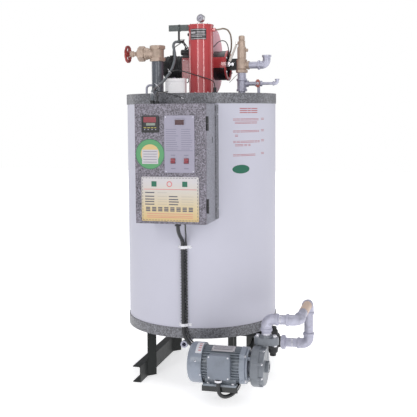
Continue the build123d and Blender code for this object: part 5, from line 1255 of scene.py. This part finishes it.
def on_axis(x):
    return Vector((x, *PUMP_AXIS))


def pump_bolts(bm):
    bolts(bm, FOOT_BOLTS, UP, across=11, head=5, washer=1.5, turn=12)
    bolts(bm, ring_points(BELL_FACE, RIGHT, BELL_BOLT_CIRCLE, 4, 45), RIGHT, across=11, head=5, washer=1.2)
    bolts(bm, ring_points(CASING_FACE, RIGHT, CASING_BOLT_CIRCLE, 8, 22.5), RIGHT, across=9, head=5,
          washer=0.8)
    bolts(bm, grid(FLANGE_X, (FLANGE_Y,), (FLANGE_TOP,)), UP, across=17, head=9, washer=2, turn=20)
    bolts(bm, grid(FLANGE_X, (FLANGE_Y,), (FLANGE_FOOT,)), DOWN, across=17, head=9, washer=2, turn=5)
    bolts(bm, BASE_BOLTS, UP, across=15, head=7, washer=1.6, turn=10)


def terminal_screws(bm):
    screws(bm, TERMINAL_SCREWS, FRONT, radius=3.6, height=2, turn=30)
    for x, angle in COWL_SCREWS:
        out = motor_out(angle)
        pan_screw(bm, on_axis(x) + out * COWL_RADIUS, out, radius=3.4, height=2, turn=40)


def name_plate_lines(bm):
    for low, high in NAME_PLATE_ROWS:
        on_motor(bm, (low, high, *NAME_PLATE_ROW_SPAN), PLATE_RADIUS + 0.9, 0.25)
    for x, angle in NAME_PLATE_RIVETS:
        out = motor_out(angle)
        barrel(bm, on_axis(x) + out * (PLATE_RADIUS + 0.8), out, length=1.2, radius=2)


def cowl_sticker_rows(bm):
    for angle in COWL_STICKER_ROWS:
        on_motor(bm, (angle, angle + 3, *COWL_STICKER_ROW_SPAN), COWL_RADIUS + 0.3, 0.25)


def thread_rings(bm):
    for z in RISER_THREADS:
        ring(bm, (422, FLANGE_Y, z), UP, 1, 20.9, 21.9)
    for x in PIPE_THREADS:
        for pipe in (OUTLET_PIPE, INLET_PIPE):
            ring(bm, (x, *pipe), RIGHT, 1.2, PIPE_RADIUS - 1.4, PIPE_RADIUS)


def leg_beads(bm):
    x, y, z = LEG_CORNER
    seed = 0
    for side_x in (-1, 1):
        for side_y in (-1, 1):
            corner = Vector((side_x * x, side_y * y, z))
            for way in (-1, 1):
                seed += 1
                end = corner + Vector((side_x, way, 0)) * LEG_BEAD_REACH
                bead(bm, end - Vector((side_x, way, 0)) * LEG_BEAD_RUN, end, 2.4, seed)


piece("pump_bolts", pump_bolts, "bright")
piece("terminal_screws", terminal_screws, "bright")
piece("name_plate", lambda bm: on_motor(bm, NAME_PLATE, PLATE_RADIUS, 1.0), "plate_silver")
piece("name_plate_lines", name_plate_lines, "ink_dark")
piece("cowl_sticker", lambda bm: on_motor(bm, COWL_STICKER, COWL_RADIUS - 0.1, 0.45), "sticker")
piece("cowl_sticker_rows", cowl_sticker_rows, "ink_red")
piece("white_collars", lambda bm: rings(bm, COLLARS), "clip")
piece("gland_rings", lambda bm: rings(bm, GLAND_RINGS), "black")
piece("thread_rings", thread_rings, "bright")
piece("pipe_sleeve", lambda bm: ring(bm, *HEAT_SLEEVE), "heat_sleeve")
piece("leg_beads", leg_beads, "stand")

# Cord trimmings: spiral wrap, clip screws, ties and shrink sleeves

WRAP_CENTRE = (11.5, -386)
WRAP_HALF = (17.2, 11.2)
WRAP_SPAN = (318, 662)
WRAP_PITCH = 14
WRAP_STRAND = 1.3
CLIP_HEIGHTS = (305, 676)
CLIP_EARS = (-15.75, 44.25)
CLIP_THICK = 2.4
READ_STEP = 2.0
# Each tie has a place that it lies nearest to, and the way and length of its cut tail
TIES = (((-128, -125, 1503), (-4, -9, 12)), ((-146, -285, 1428), (-10, -6, 10)),
        ((-111, -455, 1390), (-8, -8, 10)))
TIE_WIDTH = 3.2
TIE_RADII = (6.6, 8.0)
TIE_HEAD = (4, 5, 4.4)
TIE_HEAD_OUT = 9.2
TIE_TAIL_RADII = (1.2, 1.1, 1.0)
# Each shrink sleeve has its cord, its first and last step along it, and its radius
SHRINKS = ((SENSOR_CABLE, 1, 7, 3.4), (TIP_WIRE, 0, 5, 2.4))
TIP_STEPS = 7
TIP_RADIUS = 2.0


def spiral_wrap(bm):
    foot, head = WRAP_SPAN
    turns = (head - foot) / WRAP_PITCH
    count = round(turns * 16)
    places = []
    for i in range(count + 1):
        angle = 2 * pi * turns * i / count
        places.append(Vector((WRAP_CENTRE[0] + WRAP_HALF[0] * cos(angle),
                              WRAP_CENTRE[1] + WRAP_HALF[1] * sin(angle), foot + (head - foot) * i / count)))
    sleeve(bm, places, [WRAP_STRAND] * len(places), 8)


def clip_screws(bm):
    for z in CLIP_HEIGHTS:
        for x in CLIP_EARS:
            y = -(DRUM_RADIUS ** 2 - x ** 2) ** 0.5 - CLIP_THICK
            pan_screw(bm, (x, y, z), FRONT, radius=3.4, height=2, turn=35)


def tie(bm, places, index, tail):
    """A cable tie round a conduit at a place on its line, with its head and a cut tail."""
    way = (places[index + 1] - places[index - 1]).normalized()
    at = frame_at(places[index] - way * TIE_WIDTH / 2, way, UP)
    ring(bm, at.translation, way, TIE_WIDTH, *TIE_RADII, 28)
    head = at @ Vector((TIE_HEAD_OUT, 0, TIE_WIDTH / 2))
    size = Matrix.Diagonal((*TIE_HEAD, 1))
    bmesh.ops.create_cube(bm, size=1, matrix=Matrix.Translation(head) @ at.to_3x3().to_4x4() @ size)
    sleeve(bm, [head, head + Vector(tail) * 0.5, head + Vector(tail)], TIE_TAIL_RADII, 8)


def conduit_ties(bm):
    places = even(line_of(BURNER_CONDUIT), READ_STEP)
    for target, tail in TIES:
        nearest = min(range(2, len(places) - 2), key=lambda i: (places[i] - Vector(target)).length)
        tie(bm, places, nearest, tail)


def shrink_sleeves(bm):
    for points, first, last, radius in SHRINKS:
        places = even(line_of(points), READ_STEP)[first:last + 1]
        sleeve(bm, places, [radius] * len(places), 12)


def wire_tip(bm):
    sleeve(bm, even(line_of(TIP_WIRE), READ_STEP)[-TIP_STEPS:], [TIP_RADIUS] * TIP_STEPS, 12)


piece("spiral_wrap", spiral_wrap, "cord", sharp=75)
piece("clip_screws", clip_screws, "bright")
piece("conduit_ties", conduit_ties, "clip")
piece("shrink_sleeves", shrink_sleeves, "black")
piece("wire_tip", wire_tip, "clip")

# Camera, fitted to the photograph, with a slight downward pitch and a small roll

LENS = 70.77
SENSOR = 36
SHIFT = (0.0082, -0.08)
CAMERA_PLACE = (1.0753, -4.0481, 1.2998)
AZIMUTH = radians(14.657)
PITCH = radians(4.279)
ROLL = radians(-0.393)

camera_data = bpy.data.cameras.new("camera")
camera = bpy.data.objects.new("camera", camera_data)
scene.collection.objects.link(camera)
scene.camera = camera
camera_data.lens = LENS
camera_data.sensor_width = SENSOR
camera_data.shift_x, camera_data.shift_y = SHIFT
camera.location = CAMERA_PLACE
ahead = Vector((-sin(AZIMUTH) * cos(PITCH), cos(AZIMUTH) * cos(PITCH), -sin(PITCH)))
camera.rotation_mode = "QUATERNION"
camera.rotation_quaternion = ahead.to_track_quat("-Z", "Y") @ Matrix.Rotation(ROLL, 3, "Z").to_quaternion()

scene.view_settings.view_transform = "Standard"


# Studio: an even pale surround, a weak frontal light, a stronger top light and two tall strips

SURROUND = 0.36

world = bpy.data.worlds.new("world")
scene.world = world
world.use_nodes = True
tree = world.node_tree
sky = tree.nodes["Background"]
sky.inputs["Color"].default_value = (0.97, 0.97, 1.0, 1)
sky.inputs["Strength"].default_value = SURROUND
seen = tree.nodes.new("ShaderNodeBackground")
seen.inputs["Color"].default_value = (1, 1, 1, 1)
seen.inputs["Strength"].default_value = 1.0
rays = tree.nodes.new("ShaderNodeLightPath")
choose = tree.nodes.new("ShaderNodeMixShader")
tree.links.new(rays.outputs["Is Camera Ray"], choose.inputs[0])
tree.links.new(sky.outputs[0], choose.inputs[1])
tree.links.new(seen.outputs[0], choose.inputs[2])
tree.links.new(choose.outputs[0], tree.nodes["World Output"].inputs["Surface"])


def area(name, place, toward, size, power):
    data = bpy.data.lights.new(name, "AREA")
    data.shape = "RECTANGLE"
    data.size, data.size_y = size
    data.energy = power
    light = bpy.data.objects.new(name, data)
    scene.collection.objects.link(light)
    light.location = place
    light.rotation_mode = "QUATERNION"
    light.rotation_quaternion = (Vector(toward) - Vector(place)).to_track_quat("-Z", "Y")
    light.visible_camera = False


area("front_light", (0.6, -5.2, 2.4), (0, 0, 0.9), (3.2, 2.6), 20)
area("top_light", (0.1, 0.2, 4.6), (0, 0, 0), (4.0, 4.0), 60)
area("strip_left", (-1.16, -4.35, 2.4), (0, 0, 1.3), (0.5, 2.0), 26)
area("strip_right", (2.8, -3.5, 2.2), (0, 0, 1.3), (0.5, 2.0), 28)
area("rim_left", (-3.4, 1.6, 2.2), (0, 0, 1.0), (1.2, 2.4), 14)
area("rim_right", (3.2, 2.6, 2.2), (0, 0, 1.0), (1.2, 2.4), 14)

# Floor: pale, with a soft glow that grows with distance so that it has no horizon

FLOOR_HALF = 14

floor_look = Look("floor_pale")
away = floor_look.make("ShaderNodeVectorMath", operation="LENGTH")
floor_look.feed(away.inputs[0], floor_look.place)
reach = floor_look.calc("MULTIPLY", away.outputs["Value"], 1 / FLOOR_HALF)
glow = floor_look.ramp(reach, (0.03, 0.60), (0.09, 0.70), (0.30, 0.95))
pale = floor_look.mix(floor_look.noise(5, 3), (0.92, 0.92, 0.93), (0.95, 0.95, 0.95))
floor_look.set(color=pale, rough=0.9, spec=0.1, glow=(1.0, 1.0, 1.0), glow_strength=glow)
floor_mesh = bpy.data.meshes.new("floor")
floor_bm = bmesh.new()
bmesh.ops.create_grid(floor_bm, x_segments=1, y_segments=1, size=FLOOR_HALF)
bmesh.ops.translate(floor_bm, verts=floor_bm.verts, vec=(0, 0, -0.0005))
floor_bm.to_mesh(floor_mesh)
floor_bm.free()
floor = bpy.data.objects.new("floor", floor_mesh)
scene.collection.objects.link(floor)
floor_mesh.materials.append(floor_look.material)

bpy.context.view_layer.update()
